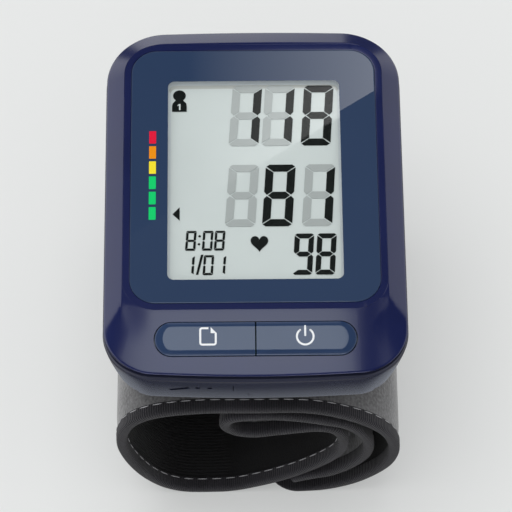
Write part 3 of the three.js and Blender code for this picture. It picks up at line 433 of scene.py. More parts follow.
# Cloth reads the strap's own map, in metres along and round the strap. Its ribs can end at a place across
def clothMaterial(name, dark, light, ribScale, ribDepth, along, fuzz, sheen, ribEnd=None):
    material, tree, shader = startMaterial(name)
    chart = addNode(tree, "ShaderNodeUVMap", uv_map="strapMap").outputs["UV"]
    axes, grain = addNode(tree, "ShaderNodeSeparateXYZ", {"Vector": chart}).outputs, addGrain(tree, fuzz, 90.0)
    phase = addMath(tree, "MULTIPLY", axes["X" if along else "Y"], 2 * math.pi / (ribScale * millimetre))
    depth = ribDepth
    if ribEnd is not None:
        limits = ((ribEnd - 1) * millimetre, (ribEnd + 1) * millimetre)
        depth = addRange(tree, addAxes(tree)["X"], ribDepth, 0.05, *limits)
    height = addMath(tree, "MULTIPLY_ADD", addMath(tree, "SINE", phase), depth, grain["Height"])
    # The colour follows the rib height, darker in the rib valleys as painted shade, and varies at random with noise
    fine, broad = addRange(tree, height, 0, 1, 0.25 - ribDepth, 0.75 + ribDepth), addRange(tree, grain["Tone"], 0, 1)
    blend = addMath(tree, "MULTIPLY_ADD", fine, 0.6, addMath(tree, "MULTIPLY", broad, 0.4))
    feed(tree, shader, {
        "Base Color": addMix(tree, blend, dark, light),
        "Roughness": addRange(tree, grain["Tone"], 0.86, 0.97),
        "Sheen Weight": sheen,
        "Sheen Roughness": 0.5,
        "Specular IOR Level": 0.25,
    })
    addBump(tree, shader, height, 0.12 if ribDepth > 0.3 else 0.2)
    return material


lensPrint = lensMaterial()
velourGrey = clothMaterial("velourGrey", (0.05, 0.05, 0.052), (0.255, 0.255, 0.262), 0.9, 0.04, True, 1500, 0.5)
liningKnit = clothMaterial(
    "liningKnit", (0.002, 0.002, 0.0022), (0.016, 0.016, 0.0175), 0.8, 0.9, False, 2500, 0.08, -6.5
)
tapeWeave = clothMaterial("tapeWeave", (0.0065, 0.0063, 0.0083), (0.04, 0.0385, 0.046), 0.55, 0.5, True, 3000, 0.15)
hookTape = clothMaterial("hookTape", (0.01, 0.01, 0.011), (0.04, 0.04, 0.042), 0.8, 0.7, True, 2500, 0.1)


print("stage: top cover")
coverSizes = {
    "frontCornerRadius": 10.9,
    "backCornerRadius": 13.3,
    "frontInset": 0.33,
    "frontBow": 0.95,
    "backBow": 0.5,
    "bowReach": 28.0,
    "bowFade": 22.0,
    "bevelRun": 4.2,
    "backBevelRun": 4.75,
    "bevelDrop": 3.1,
    "bevelCrown": 0.08,
    "crownBlend": 0.15,
    "lowerEdgeRise": 1.1,
    "edgeRounding": 0.42,
    "bevelBlend": 0.1,
    "bezelBlend": 0.05,
    "cornerBlendLeft": 2.7,
    "cornerBlendRight": 4.4,
    "cornerStartLeft": 1.5,
    "cornerStartRight": 2.8,
    "cornerFade": 9.0,
    "wall": 1.8,
    "bezelWall": 1.65,
    "bezelSlope": 14.5,
    "bezelMargin": 1.9,
    "lensCorner": 6.0,
    "bandWidth": 1.72,
    "bandDepth": 0.04,
    "lensGap": 0.07,
    "pocketGap": 0.3,
    "deckThickness": 1.4,
    "skinReach": 6.8,
    "skinRings": 26,
    "faceRings": 12,
}
coverFront = coverLow[1] + coverSizes["frontInset"]
bezelStart = lensLow[1] - coverSizes["bezelMargin"]
slope = math.radians(coverSizes["bezelSlope"])
outlineSteps = (44, 26, 30, 24)


# The sloped bezel starts further back beside the lens, where the lens band curves away
def bezelHeight(y, x=0.0):
    s = coverSizes
    early = s["cornerStartLeft" if x < 0 else "cornerStartRight"] * softStep((abs(x) - 22.5) / 6.5)
    if x < 0:
        early *= softStep((y - bezelStart + s["cornerFade"]) / s["cornerFade"])
    return faceTop + (y - bezelStart - early) * math.tan(slope)


# The lower of two heights, with a soft passage between them
def softMinimum(first, second, softness):
    blend = max(softness - abs(first - second), 0) / softness
    return min(first, second) - blend * blend * softness / 4


# The front and back edges of the body bow out a little between its corners
def bowAt(x, y):
    s = coverSizes
    share = max(1 - (x / s["bowReach"]) ** 2, 0) ** 1.2
    if y < coverMiddleY:
        return -s["frontBow"] * share * softStep((coverFront + s["bowFade"] - y) / s["bowFade"])
    return s["backBow"] * share * softStep((y - coverHigh[1] + s["bowFade"]) / s["bowFade"])


# Distance from a point inwards to the body's outline
def insetAt(x, y):
    y -= bowAt(x, y)
    front = y < coverMiddleY
    radius = coverSizes["frontCornerRadius" if front else "backCornerRadius"]
    toSide = coverHigh[0] - abs(x)
    toEnd = y - coverFront if front else coverHigh[1] - y
    if toSide < radius and toEnd < radius:
        return radius - math.hypot(radius - toSide, radius - toEnd)
    return min(toSide, toEnd)


# The bevel is a little wider along the back
def runAt(x, y):
    s = coverSizes
    toSide, toEnd = coverHigh[0] - abs(x), max(coverHigh[1] - y, 0)
    share = toSide**2 / max(toSide**2 + toEnd**2, 1e-6) if y > 0 else 0
    return s["bevelRun"] + (s["backBevelRun"] - s["bevelRun"]) * share


# Height of the cover's outside: bevel, flat face and sloped bezel, blended widely at the front corners. The side
# bevels run on straight past those corners
def coverHeight(x, y):
    s = coverSizes
    half, plane = runAt(x, y) / 2, bezelHeight(y, x)
    inset = coverHigh[0] - abs(x) if y < bezelStart else insetAt(x, y)
    middle, drop = faceTop - s["bevelDrop"] / 2 + s["bevelCrown"], s["bevelDrop"] / 2
    lower = middle + (inset - half) * (drop + s["bevelCrown"]) / half
    upper = middle + (inset - half) * (drop - s["bevelCrown"]) / half
    wide = s["cornerBlendLeft"] if x < 0 else s["cornerBlendRight"]
    softness = s["bevelBlend"] + (wide - s["bevelBlend"]) * softStep((faceTop - plane) / 1.5)
    top = softMinimum(faceTop, plane, s["bezelBlend"])
    return softMinimum(softMinimum(lower, upper, s["crownBlend"]), top, softness)


def bodyOutline():
    s = coverSizes
    low, high = (coverLow[0], coverFront), coverHigh
    plain = roundedOutline(low, high, s["frontCornerRadius"], s["backCornerRadius"], outlineSteps)
    return [(x, y + bowAt(x, y), nx, ny) for x, y, nx, ny in plain]


bodyLine = bodyOutline()


def buildTopCover():
    s = coverSizes
    lensLine = roundedOutline(lensLow, lensHigh, s["lensCorner"], s["lensCorner"], outlineSteps)
    (left, front, _), (right, back, _) = limitsOf("lcd_backlight")
    opening = roundedOutline((left - 0.3, front - 3), (right + 0.3, back + 1.6), 0.3, 0.3, outlineSteps)
    bandEdge, rounding = growOutline(lensLine, s["bandWidth"]), s["edgeRounding"]
    edgeBottom = casingBottom + s["lowerEdgeRise"]
    rings = [levelRing(bodyLine, growth, edgeBottom + rise) for growth, rise in ((-0.5, 0), (-0.12, 0.1), (0, 0.4))]

    def skinRing(insets, sink=0.0):
        ring = []
        for (x, y, nx, ny), inset in zip(bodyLine, insets):
            px, py = x - nx * inset, y - ny * inset
            ring.append((px, py, coverHeight(px, py) - sink))
        return ring

    for angle in (0, 15, 30, 45, 60, 75):
        c, sn = cosSin(angle)
        rings.append(skinRing([rounding * (1 - c)] * len(bodyLine), rounding * 0.75 * (1 - sn)))
    reach = [
        min(s["skinReach"], 0.96 * ((x - u) * nx + (y - v) * ny))
        for (x, y, nx, ny), (u, v) in zip(bodyLine, bandEdge)
    ]
    for step in range(s["skinRings"] + 1):
        share = step / s["skinRings"]
        rings.append(skinRing([rounding + (far - rounding) * share for far in reach]))
    skinEnd = rings[-1]
    for step in range(1, s["faceRings"] + 1):
        face = blendRings(skinEnd, bandEdge, step / s["faceRings"])
        rings.append([(x, y, coverHeight(x, y)) for x, y in face])
    pocketFloor = lensLow[2] - s["pocketGap"]
    deckUnderside = pocketFloor - s["deckThickness"]
    bandFloor, gap = faceTop - s["bandDepth"], s["lensGap"]
    edge = growOutline(lensLine, s["bandWidth"] - 0.06)
    rings.append([(x, y, min(z - 0.04, bandFloor + 0.04)) for (x, y), (_, _, z) in zip(edge, rings[-1])])
    levels = (s["bandWidth"] - 0.12, bandFloor), (gap + 0.1, bandFloor), (gap, bandFloor - 0.08), (gap, pocketFloor)
    rings += [levelRing(lensLine, growth, z) for growth, z in levels]
    rings += [levelRing(opening, 0, z) for z in (pocketFloor, deckUnderside)]

    def underRing(ring, drop=0.0):
        return [(x, y, min(deckUnderside, bezelHeight(y) - s["bezelWall"]) - drop) for x, y in ring]

    inner = growOutline(bodyLine, -(s["wall"] + 1.0))
    rings += [underRing(blendRings(opening, inner, share)) for share in (0.35, 0.7, 1.0)]
    rings.append(underRing(growOutline(bodyLine, -s["wall"]), 0.9))
    rings.append(levelRing(bodyLine, -s["wall"], edgeBottom))
    return loftPiece("coverSkin", rings, [casingPlastic], closed=True)


# Keys lie in a slot of the bezel; this matrix puts their own plane there
keySizes = {
    "slotLength": 45.4,
    "slotBreadth": 8.0,
    "slotDistance": 6.6,
    "clearance": 0.12,
    "split": 0.3,
    "proud": 0.95,
    "chamferWidth": 1.1,
    "chamferHeight": 0.7,
    "endChamfer": 0.25,
    "bottom": -2.4,
    "flange": 0.5,
    "stubRadius": 1.0,
    "stubHeight": 0.8,
}
upSlope = Vector((0, math.cos(slope), math.sin(slope)))
slotStart = Vector((0, bezelStart, faceTop)) - keySizes["slotDistance"] * upSlope
bezelPlace = Matrix.Translation(slotStart) @ Matrix.Rotation(slope, 4, "X")


# Rings of the slot's outline at pairs of growth and height; ends gives the share of the round ends' length there
def slotRings(levels, ends=lambda growth: 1):
    half, reach, rings = keySizes["slotLength"] / 2, keySizes["slotBreadth"] / 2, []
    outline = roundedOutline((-half, -reach), (half, reach), reach - 0.01, reach - 0.01, (28, 28, 2, 40))
    straight = half - reach
    for growth, z in levels:
        ring = []
        for x, y in growOutline(outline, growth):
            if abs(x) > straight:
                x = math.copysign(straight + (abs(x) - straight) * ends(growth), x)
            ring.append(tuple(bezelPlace @ Vector((x, y, z))))
        rings.append(ring)
    return rings


topCover = buildTopCover()
combinePiece(topCover, [loftPiece("slotTool", slotRings([(0, -3.6), (0, 2.5)]))], 32)
dress(topCover, housing, "casing", "top_cover")


print("stage: lens and display")
lensSizes = {"corner": coverSizes["lensCorner"], "edge": 0.16}


def buildLens():
    edge, levels = lensSizes["edge"], [(0, lensLow[2])]
    for angle in (0, 22, 45, 68, 90):
        c, sn = cosSin(angle)
        levels.append((-edge * (1 - c), lensHigh[2] - edge * (1 - sn)))
    levels.append((-edge - 0.1, lensHigh[2]))
    outline = roundedOutline(lensLow, lensHigh, lensSizes["corner"], lensSizes["corner"], (24, 24, 3, 3))
    return loftPiece("lensPlate", [levelRing(outline, growth, z) for growth, z in levels], [lensPrint])


lensPlate = buildLens()
lensPlate.visible_shadow = False
dress(lensPlate, housing, "lens", "display_lens")


# Closed flat shapes of one thickness, each given as an outline and a material index
def flatPiece(name, shapes, low, high, materials, place=Matrix.Identity(4)):
    points, faces, indices = [], [], []
    for outline, index in shapes:
        area = sum(a[0] * b[1] - b[0] * a[1] for a, b in zip(outline, outline[1:] + outline[:1]))
        if area < 0:
            outline = outline[::-1]
        start, count = len(points), len(outline)
        points += [tuple(place @ Vector((x, y, z))) for z in (low, high) for x, y in outline]
        faces.append(tuple(reversed(range(start, start + count))))
        faces.append(tuple(range(start + count, start + 2 * count)))
        for i in range(count):
            j = (i + 1) % count
            faces.append((start + i, start + j, start + count + j, start + count + i))
        indices += [index] * (count + 2)
    return addMesh(name, points, faces, materials, indices, sharpAngle=30)


digitSizes = {"breadth": 1.06, "slant": 0.066, "gap": 0.13, "cornerDrop": 0.28}
digitKinds = {
    "big": {"width": 6.45, "height": 16.2, "across": 1.85, "along": 1.85},
    "pulse": {"width": 4.15, "height": 10.6, "across": 1.2, "along": 1.25},
    "small": {"width": 2.2, "height": 5.1, "across": 0.55, "along": 0.55},
}
litSegments = {"0": "abcdef", "1": "bc", "8": "abcdefg", "9": "abcdfg", " ": ""}


# The seven segments of a digit as outlines, from its lower left corner
def digitSegments(left, front, width, height, across, along):
    g, middle = digitSizes["gap"] * min(1, across / 1.4), height / 2
    drop, slant = digitSizes["cornerDrop"] * across, digitSizes["slant"]
    left, width = left - width * (digitSizes["breadth"] - 1) / 2, width * digitSizes["breadth"]
    shapes = {
        "a": [(0.45 * across, height), (width - 0.45 * across, height), (width - 0.08 * across, height - drop),
              (width - across, height - along), (across, height - along), (0.08 * across, height - drop)],
        "f": [(0, height - drop - 2 * g), (across, height - along - 2 * g), (across, middle + along / 2 + g),
              (0.35 * across, middle + 1.3 * g), (0, middle + 0.5 * along)],
        "g": [(0.5 * across, middle), (across + g, middle + along / 2), (width - across - g, middle + along / 2),
              (width - 0.5 * across, middle), (width - across - g, middle - along / 2),
              (across + g, middle - along / 2)],
    }
    shapes["b"] = [(width - x, y) for x, y in shapes["f"]]
    shapes["e"] = [(x, height - y) for x, y in shapes["f"]]
    shapes["c"] = [(width - x, height - y) for x, y in shapes["f"]]
    shapes["d"] = [(x, height - y) for x, y in shapes["a"]]
    return {k: [(left + x + y * slant, front + y) for x, y in outline] for k, outline in shapes.items()}


# Rows of the display: height of the row's foot, kind of digit, the digits and their left edges. Big digits show
# their unlit segments too
def displayDigits():
    rows = [
        (8.15, "big", "118", (-5.6, 1.95, 10.95)),
        (-13.1, "big", " 81", (-6.55, 1.85, 10.9)),
        (-25.65, "pulse", "98", (8.5, 13.6)),
        (-19.25, "small", "808", (-15.7, -11.9, -9.2)),
        (-25.55, "small", "101", (-16.1, -11.75, -9.05)),
    ]
    shapes = []
    for front, kind, digits, places in rows:
        for digit, left in zip(digits, places):
            for key, outline in digitSegments(left, front + lensCentreY, **digitKinds[kind]).items():
                lit = key in litSegments[digit]
                if lit or kind == "big":
                    shapes.append((outline, 0 if lit else 1))
    return shapes


# Signs of the display, given from the lens's middle: dots, slash, pointer, heart and head, then the body of the
# user sign and its figure one
def displaySigns():
    heart = []
    for i in range(60):
        t = 2 * math.pi * i / 60
        u = 16 * math.sin(t) ** 3
        v = 13 * math.cos(t) - 5 * math.cos(2 * t) - 2 * math.cos(3 * t) - math.cos(4 * t)
        heart.append((1.05 + u * 2.0 / 16, -17.35 + v * 2.1 / 14.5))
    signs = [
        circle(-12.45, -15.55, 0.3, 12),
        circle(-12.6, -17.6, 0.3, 12),
        [(-13.3, -25.45), (-12.75, -25.45), (-11.6, -20.3), (-12.15, -20.3)],
        [(-18.6, -9.75), (-16.97, -11.45), (-16.97, -7.95)],
        heart,
        circle(-17.1, 21.85, 1.48),
    ]
    body = [(-18.8, 17.5), (-15.42, 17.5), (-15.42, 19.1), (-15.55, 19.75), (-16.0, 20.3), (-16.5, 20.9),
            (-17.7, 20.9), (-18.2, 20.3), (-18.65, 19.75), (-18.8, 19.1)]
    one = [(-17.2, 17.95), (-16.85, 17.95), (-16.85, 19.6), (-17.15, 19.6), (-17.55, 19.3), (-17.55, 19.05),
           (-17.2, 19.2)]
    groups = (signs, [body], [one])
    return [[([(x, y + lensCentreY) for x, y in sign], 0) for sign in group] for group in groups]


# Plates from the bottom up: rim, a band of painted shade along the top edge, field; then segments and signs
def buildDisplay():
    w, margin, base = lensWindow, 0.2, lensLow[2] - 0.28
    x0, x1 = (w["Centre X"] + side * (w["Half Width"] + margin) for side in (-1, 1))
    y0, y1 = (w["Centre Y"] + side * (w["Half Height"] + margin) for side in (-1, 1))
    signs, body, one = displaySigns()
    plates = [lcdRim, lcdPaintedShade, lcdField]
    layers = [
        ([(roundedShape(x0, x1, y0, y1 + 1.3, 1.0), 0)], 0.0, 0.04, plates),
        ([(roundedShape(x0 + 0.45, x1 - 0.45, y1 - 3.0, y1 - 0.45, 1.3), 1)], 0.045, 0.055, plates),
        ([(roundedShape(x0 + 0.82, x1 - 0.72, y0 + 0.78, y1 - 1.4, 1.2), 2)], 0.06, 0.07, plates),
        (displayDigits() + signs, 0.15, 0.18, [segmentLit, segmentFaint]),
        (body, 0.16, 0.19, [segmentLit]),
        (one, 0.2, 0.21, [lcdField]),
    ]
    for number, (shapes, low, high, materials) in enumerate(layers):
        layer = flatPiece(f"displayLayer{number + 1}", shapes, base + low, base + high, materials)
        dress(layer, housing, "lcd_glass")


buildDisplay()
barSizes = {
    "left": -23.97,
    "width": 1.58,
    "top": 11.5,
    "pitch": 4.02,
    "height": 3.3,
    "colours": [(0.8, 0.014, 0.05), (0.9, 0.3, 0.01), (0.95, 0.78, 0.035), (0.01, 0.63, 0.16)],
}


def buildColourBar():
    s = barSizes
    inks = [mouldedMaterial(f"scaleInk{i + 1}", c, 0.06, 0.04, bump=0) for i, c in enumerate(s["colours"])]
    shapes = []
    for row in range(6):
        top = lensCentreY + s["top"] - row * s["pitch"]
        shapes.append((roundedShape(s["left"], s["left"] + s["width"], top - s["height"], top, 0.1, 2), min(row, 3)))
    return flatPiece("colourScale", shapes, faceTop + 0.001, faceTop + 0.016, inks)


dress(buildColourBar(), housing, "lens")


print("stage: keys")


# One half of the pill: lofted whole, cut off at the split, with a round stub below for the switch
def buildKey(name, side):
    s = keySizes
    step, shoulder, chamfer = s["bottom"] + 0.5, s["proud"] - s["chamferHeight"], s["chamferWidth"]
    levels = [(s["flange"], s["bottom"]), (s["flange"], step), (-s["clearance"], step)]
    corners = [(0, shoulder - 0.9), (0, shoulder), (-chamfer, s["proud"]), (-chamfer - 1.2, s["proud"])]
    levels += [(growth - s["clearance"], z) for growth, z in roundedChain(corners, [0, 0.35, 0.28, 0])]
    rings = slotRings(levels, lambda growth: 1 - s["endChamfer"] * min(max(-growth / chamfer, 0), 1))
    key = loftPiece(name, rings, [keyPlastic])
    shape = bmesh.new()
    shape.from_mesh(key.data)
    cut = bmesh.ops.bisect_plane(
        shape,
        geom=shape.verts[:] + shape.edges[:] + shape.faces[:],
        plane_co=(bezelPlace @ Vector((side * s["split"] / 2, 0, 0))) * millimetre,
        plane_no=(side, 0, 0),
        clear_inner=True,
    )
    rim = [e for e in cut["geom_cut"] if isinstance(e, bmesh.types.BMEdge)]
    bmesh.ops.contextual_create(shape, geom=rim)
    radius, depth = s["stubRadius"] * millimetre, s["stubHeight"] * millimetre
    stub = bmesh.ops.create_cone(shape, cap_ends=True, segments=20, radius1=radius, radius2=radius, depth=depth)
    centre = side * (s["slotLength"] / 4 + s["split"] / 4 - s["clearance"] / 2)
    place = bezelPlace @ Matrix.Translation((centre, 0, s["bottom"] - s["stubHeight"] / 2))
    place.translation *= millimetre
    bmesh.ops.transform(shape, matrix=place, verts=stub["verts"])
    shape.to_mesh(key.data)
    shape.free()
    shadeMesh(key.data, 40)
    return key


# The outline of a stroke of even width along a path
def strokeShape(points, width):
    line, left, right = [Vector(p) for p in points], [], []
    for i, here in enumerate(line):
        before, after = line[max(i - 1, 0)], line[min(i + 1, len(line) - 1)]
        a = (here - before if i else after - here).normalized()
        b = (after - here).normalized() if i + 1 < len(line) else a
        normal = Vector((-(a + b).y, (a + b).x)).normalized()
        scale = width / 2 / max(normal.dot(Vector((-a.y, a.x))), 0.5)
        left.append(tuple(here + normal * scale))
        right.append(tuple(here - normal * scale))
    return left + right[::-1]


markSizes = {
    "stroke": 0.44,
    "height": 0.02,
    "page": {
        "x": -10.6,
        "y": 0.42,
        "halfWidth": 1.72,
        "halfHeight": 1.86,
        "fold": 1.12,
        "gap": 0.5,
        "rounding": 0.5,
    },
    "power": {"x": 10.97, "y": 0.26, "radius": 1.85, "opening": 38, "stem": (0.25, 2.35)},
}


# A page with a filled corner, and a ring with an upright stem
def keyMarks():
    stroke, page, power = markSizes["stroke"], markSizes["page"], markSizes["power"]
    left, right = page["x"] - page["halfWidth"], page["x"] + page["halfWidth"]
    low, high = page["y"] - page["halfHeight"], page["y"] + page["halfHeight"]
    foldX, foldY, edge = right - page["fold"], high - page["fold"], stroke / 2
    path = [(foldX - page["gap"], high), (left, high), (left, low), (right, low), (right, foldY)]
    pageShapes = [
        strokeShape(roundedChain(path, [page["rounding"]] * len(path), 5), stroke),
        [(foldX, high + edge), (right + edge, foldY), (foldX, foldY)],
    ]
    x, y, opening = power["x"], power["y"], power["opening"]
    arc = circle(x, y, power["radius"], 44, 90 + opening, 360 - 2 * opening)
    arc += circle(x, y, power["radius"], 1, 90 - opening)
    stem = [(x, y + rise) for rise in power["stem"]]
    tips = [circle(*tip, edge, 14) for tip in (arc[0], arc[-1], *stem)]
    return pageShapes, [strokeShape(arc, stroke), strokeShape(stem, stroke), *tips]


markLow, markHigh = keySizes["proud"], keySizes["proud"] + markSizes["height"]
marks = [
    flatPiece(name, [(shape, 0) for shape in shapes], markLow, markHigh, [markWhite], bezelPlace)
    for name, shapes in zip(("memoryMark", "startMark"), keyMarks())
]
for word, side, mark in (("memory", -1, marks[0]), ("start", 1, marks[1])):
    dress(buildKey(word + "_keyCap", side), word + "_key", "keys", word + "_button")
    dress(mark, word + "_key", "keys")


print("stage: bottom cover and door")


# The clip plate keeps its own form, with joined faces and soft shading
def buildClipPlate():
    source = frame["nodes"]["cuff_clip_plate"]
    mesh = source.data.copy()
    mesh.transform(source.matrix_world)
    mesh.name = "clipPlate"
    mesh.materials.clear()
    mesh.materials.append(casingPlastic)
    shape = bmesh.new()
    shape.from_mesh(mesh)
    bmesh.ops.remove_doubles(shape, verts=shape.verts[:], dist=0.002 * millimetre)
    bmesh.ops.dissolve_limit(shape, angle_limit=math.radians(1.5), verts=shape.verts[:], edges=shape.edges[:])
    shape.to_mesh(mesh)
    shape.free()
    shadeMesh(mesh, 28)
    return addObject("clipPlate", mesh)


dress(buildClipPlate(), housing, "casing", "cuff_clip_plate")
shellSizes = {
    "lipInset": -0.3,
    "footInset": 2.7,
    "lipRise": 0.5,
    "curve": 1.3,
    "footRound": 0.3,
    "lipRound": 0.8,
    "wall": 1.6,
    "seams": [(-5.1, -1.0, 3.0), (-1.7, -5.6, -2.8)],
    "seamWidth": 0.16,
    "seamDepth": 0.16,
    "doorGap": 0.12,
    "doorEdge": 0.18,
    "screwHoles": [(-1, 1.9, 2.1), (-1.5, 4, 1.2)],
    "notchHalfSizes": (2.75, 1.4, 1.6),
    "plateGap": 0.3,
    "plateRound": 4.3,
    "plateRecess": 1.3,
    "markShare": 0.55,
    "soundHolePitch": 2.7,
    "soundHoleRadius": 0.6,
    "nailSlot": (-5.45, 2.4, 0.62, -25),
    "gripCount": 4,
    "gripPitch": 1.9,
    "gripHalfLength": 4.5,
    "gripHalfHeight": 0.35,
    "gripRound": 0.34,
    "gripLevels": [(1.0, 0.0), (-0.25, 0.0), (-0.38, -0.06), (-0.45, -0.16)],
}
shellBottom, shellTop = shellLow[2], shellHigh[2] + shellSizes["lipRise"]
shellHeight = shellTop - shellBottom
markZ = shellBottom + shellSizes["markShare"] * shellHeight
buzzerX = middleOf("buzzer")[0]
frontY = coverFront - coverSizes["frontBow"]


# How far the shell's wall stands in from the body's outline at a share of its height
def wallInset(share):
    s = shellSizes
    return s["lipInset"] + (s["footInset"] - s["lipInset"]) * max(0, 1 - share) ** s["curve"]


def shellRing(share, extra):
    return levelRing(bodyLine, -(wallInset(share) + extra), shellBottom + share * shellHeight)


# Rings of the shell's outside, from under its rounded foot to its rounded lip
def shellOutside():
    footRound, lipRound = shellSizes["footRound"], shellSizes["lipRound"]
    foot, lip = footRound / shellHeight, lipRound / shellHeight
    rings = [shellRing(0, footRound + 1.2)]
    for angle in (0, 18, 36, 54, 72, 90):
        c, sn = cosSin(angle)
        rings.append(shellRing(foot * (1 - c), footRound * (1 - sn)))
    rings += [shellRing(foot + (1 - lip - foot) * step / 12, 0.0) for step in range(1, 12)]
    for angle in (0, 30, 60, 90):
        c, sn = cosSin(angle)
        rings.append(shellRing(1 - lip * (1 - sn), lipRound * (1 - c)))
    return rings


def boxTool(xLimits, yLimits, zLimits, turn=Matrix.Identity(4)):
    corners = [tuple(turn @ Vector((x, y, z))) for z in zLimits for y in yLimits for x in xLimits]
    faces = [(0, 2, 3, 1), (4, 5, 7, 6), (0, 1, 5, 4), (2, 6, 7, 3), (0, 4, 6, 2), (1, 3, 7, 5)]
    return addMesh("boxTool", corners, faces)


# The shell with its door opening, sound holes, nail slot, seams, corner notches, screw holes and plate recess
def buildShell():
    s = shellSizes
    rings = shellOutside()
    rings += [shellRing(share, s["wall"]) for share in (1, 0.65, 0.35, s["wall"] / shellHeight)]
    shell = loftPiece("shellSkin", rings, [shellPlasticPaintedLight])
    gap, reach = s["doorGap"], (frontY - 3, frontY + 6)
    doorY, doorZ = ((doorLow[axis] - gap, doorHigh[axis] + gap) for axis in (1, 2))
    tools = [boxTool((coverLow[0] - 3, doorHigh[0] + s["wall"]), doorY, doorZ)]
    for side in (-1, 1):
        hole = circle(buzzerX + side * s["soundHolePitch"] / 2, markZ + 1, s["soundHoleRadius"], 20, 0, -360)
        tools.append(loftPiece("barTool", [[(x, y, z) for x, z in hole] for y in reach]))
    place, length, height, tilt = s["nailSlot"]
    turn = Matrix.Translation((buzzerX + place, 0, markZ)) @ Matrix.Rotation(math.radians(tilt), 4, "Y")
    tools.append(boxTool((-length, length), (frontY - 3, frontY + 4.2), (-height, height), turn))
    seamReach, half = frontY + 1.7 + s["seamDepth"], s["seamWidth"] / 2
    for x, low, high in s["seams"]:
        tools.append(boxTool((x - half, x + half), (frontY - 3, seamReach), (markZ + low, markZ + high)))
    radius = coverSizes["frontCornerRadius"]
    notch = radius - 0.71 * (radius - s["footInset"])
    for side in (-1, 1):
        place = (side * (coverHigh[0] - notch), coverLow[1] + notch, shellBottom)
        turn = Matrix.Translation(place) @ Matrix.Rotation(side * math.pi / 4, 4, "Z")
        tools.append(boxTool(*((-size, size) for size in s["notchHalfSizes"]), turn))
    for number in range(1, 5):
        x, y, _ = middleOf(f"housing_screw_{number}")
        for low, high, radius in s["screwHoles"]:
            hole = circle(x, y, radius)
            tools.append(loftPiece("postTool", [[(u, v, shellBottom + z) for u, v in hole] for z in (low, high)]))
    plateLow, plateHigh = limitsOf("cuff_clip_plate")
    low, high = [v - s["plateGap"] for v in plateLow], [v + s["plateGap"] for v in plateHigh]
    outline = roundedOutline(low, high, s["plateRound"], s["plateRound"], (8, 8, 2, 2))
    tools.append(loftPiece("plateTool", [levelRing(outline, 0, shellBottom + z) for z in (-1, s["plateRecess"])]))
    return combinePiece(shell, tools, 30)


# The door is the part of the shell's form inside its opening, with soft edges and grip ribs
def buildDoor():
    s = shellSizes
    keep = boxTool((coverLow[0] - 3, doorHigh[0]), (doorLow[1], doorHigh[1]), (doorLow[2], doorHigh[2]))
    door = combinePiece(loftPiece("doorSkin", shellOutside(), [shellPlasticPaintedLight]), [keep], operation="INTERSECT")
    edge = door.modifiers.new("edge", "BEVEL")
    edge.width, edge.segments = s["doorEdge"] * millimetre, 3
    edge.limit_method, edge.angle_limit = "ANGLE", math.radians(50)
    applyModifiers(door, 30)
    _, middleY, middleZ = middleOf("battery_door")
    halfLength, halfHeight = s["gripHalfLength"], s["gripHalfHeight"]
    for row in range(s["gripCount"]):
        z = middleZ + (row - (s["gripCount"] - 1) / 2) * s["gripPitch"]
        x = coverLow[0] + wallInset((z - shellBottom) / shellHeight)
        low, high = (middleY - halfLength, z - halfHeight), (middleY + halfLength, z + halfHeight)
        outline = roundedOutline(low, high, s["gripRound"], s["gripRound"], (6, 6, 1, 1))
        rings = []
        for depth, growth in s["gripLevels"]:
            rings.append([(x + depth, u, v) for u, v in growOutline(outline, growth)][::-1])
        combinePiece(door, [loftPiece("doorRib", rings, [shellPlasticPaintedLight])], 30, "UNION")
    return door


shellSkin, doorSkin = buildShell(), buildDoor()
dress(shellSkin, housing, "casing", "bottom_cover")
dress(doorSkin, "door", "casing", "battery_door")


print("stage: cuff")
cuffSizes = {
    "width": 66.0,
    "offset": 0.4,
    "height": 44.3,
    "breadth": 75.0,
    "thickness": 2.6,
    "standCut": 0.5,
    "foldGap": 0.4,
    "tapeBreadth": 3.0,
    "tapeRound": 1.05,
    "stationsPerPoint": 8,
    "stitchInset": 2.6,
    "stitchPitch": 3.3,
    "stitchLength": 2.5,
    "stitchRadius": 0.13,
    "stitchFloor": 0.12,
    "taperLength": 17.0,
    "tipShare": 0.14,
    "tipRadius": 8.0,
}
# The strap's middle line from its inner to its outer end: shares of half the width and of the height, and how many
# layers the point lies below the one above it
strapRoute = [
    (0.26, 0.118, 0), (0.4, 0.165, 0), (0.54, 0.205, 0), (0.685, 0.3, 0), (0.785, 0.42, 0), (0.81, 0.55, 0),
    (0.755, 0.685, 0), (0.64, 0.795, 0), (0.49, 0.88, 0.5), (0.29, 0.965, 1), (0.1, 0.985, 1), (-0.07, 0.98, 1),
    (-0.185, 0.955, 1), (-0.238, 0.865, 0.6), (-0.222, 0.775, 0), (-0.15, 0.725, 0), (-0.03, 0.705, 0),
    (0.12, 0.725, 0), (0.28, 0.75, 0), (0.43, 0.765, 0), (0.545, 0.74, 0), (0.61, 0.665, 0), (0.625, 0.57, 0),
    (0.595, 0.465, 0), (0.5, 0.36, 0), (0.34, 0.24, 0), (0.17, 0.145, 0), (0, 0.07, 0), (-0.18, 0.015, 0),
    (-0.37, 0, 0), (-0.55, 0.01, 0), (-0.69, 0.065, 0), (-0.81, 0.17, 0), (-0.9, 0.31, 0), (-0.965, 0.46, 0),
    (-0.99, 0.6, 0), (-0.975, 0.72, 0), (-0.915, 0.835, 0), (-0.8, 0.92, 0), (-0.64, 0.97, 0), (-0.4, 1, 0),
    (-0.1, 1, 0), (0.22, 1, 0), (0.42, 0.98, 0), (0.62, 0.915, 0), (0.8, 0.82, 0), (0.93, 0.7, 0), (0.99, 0.57, 0),
    (0.995, 0.44, 0), (0.945, 0.31, 0), (0.83, 0.185, 0), (0.68, 0.08, 0), (0.5, 0.015, 0), (0.3, 0, 0), (0.06, 0, 0),
]
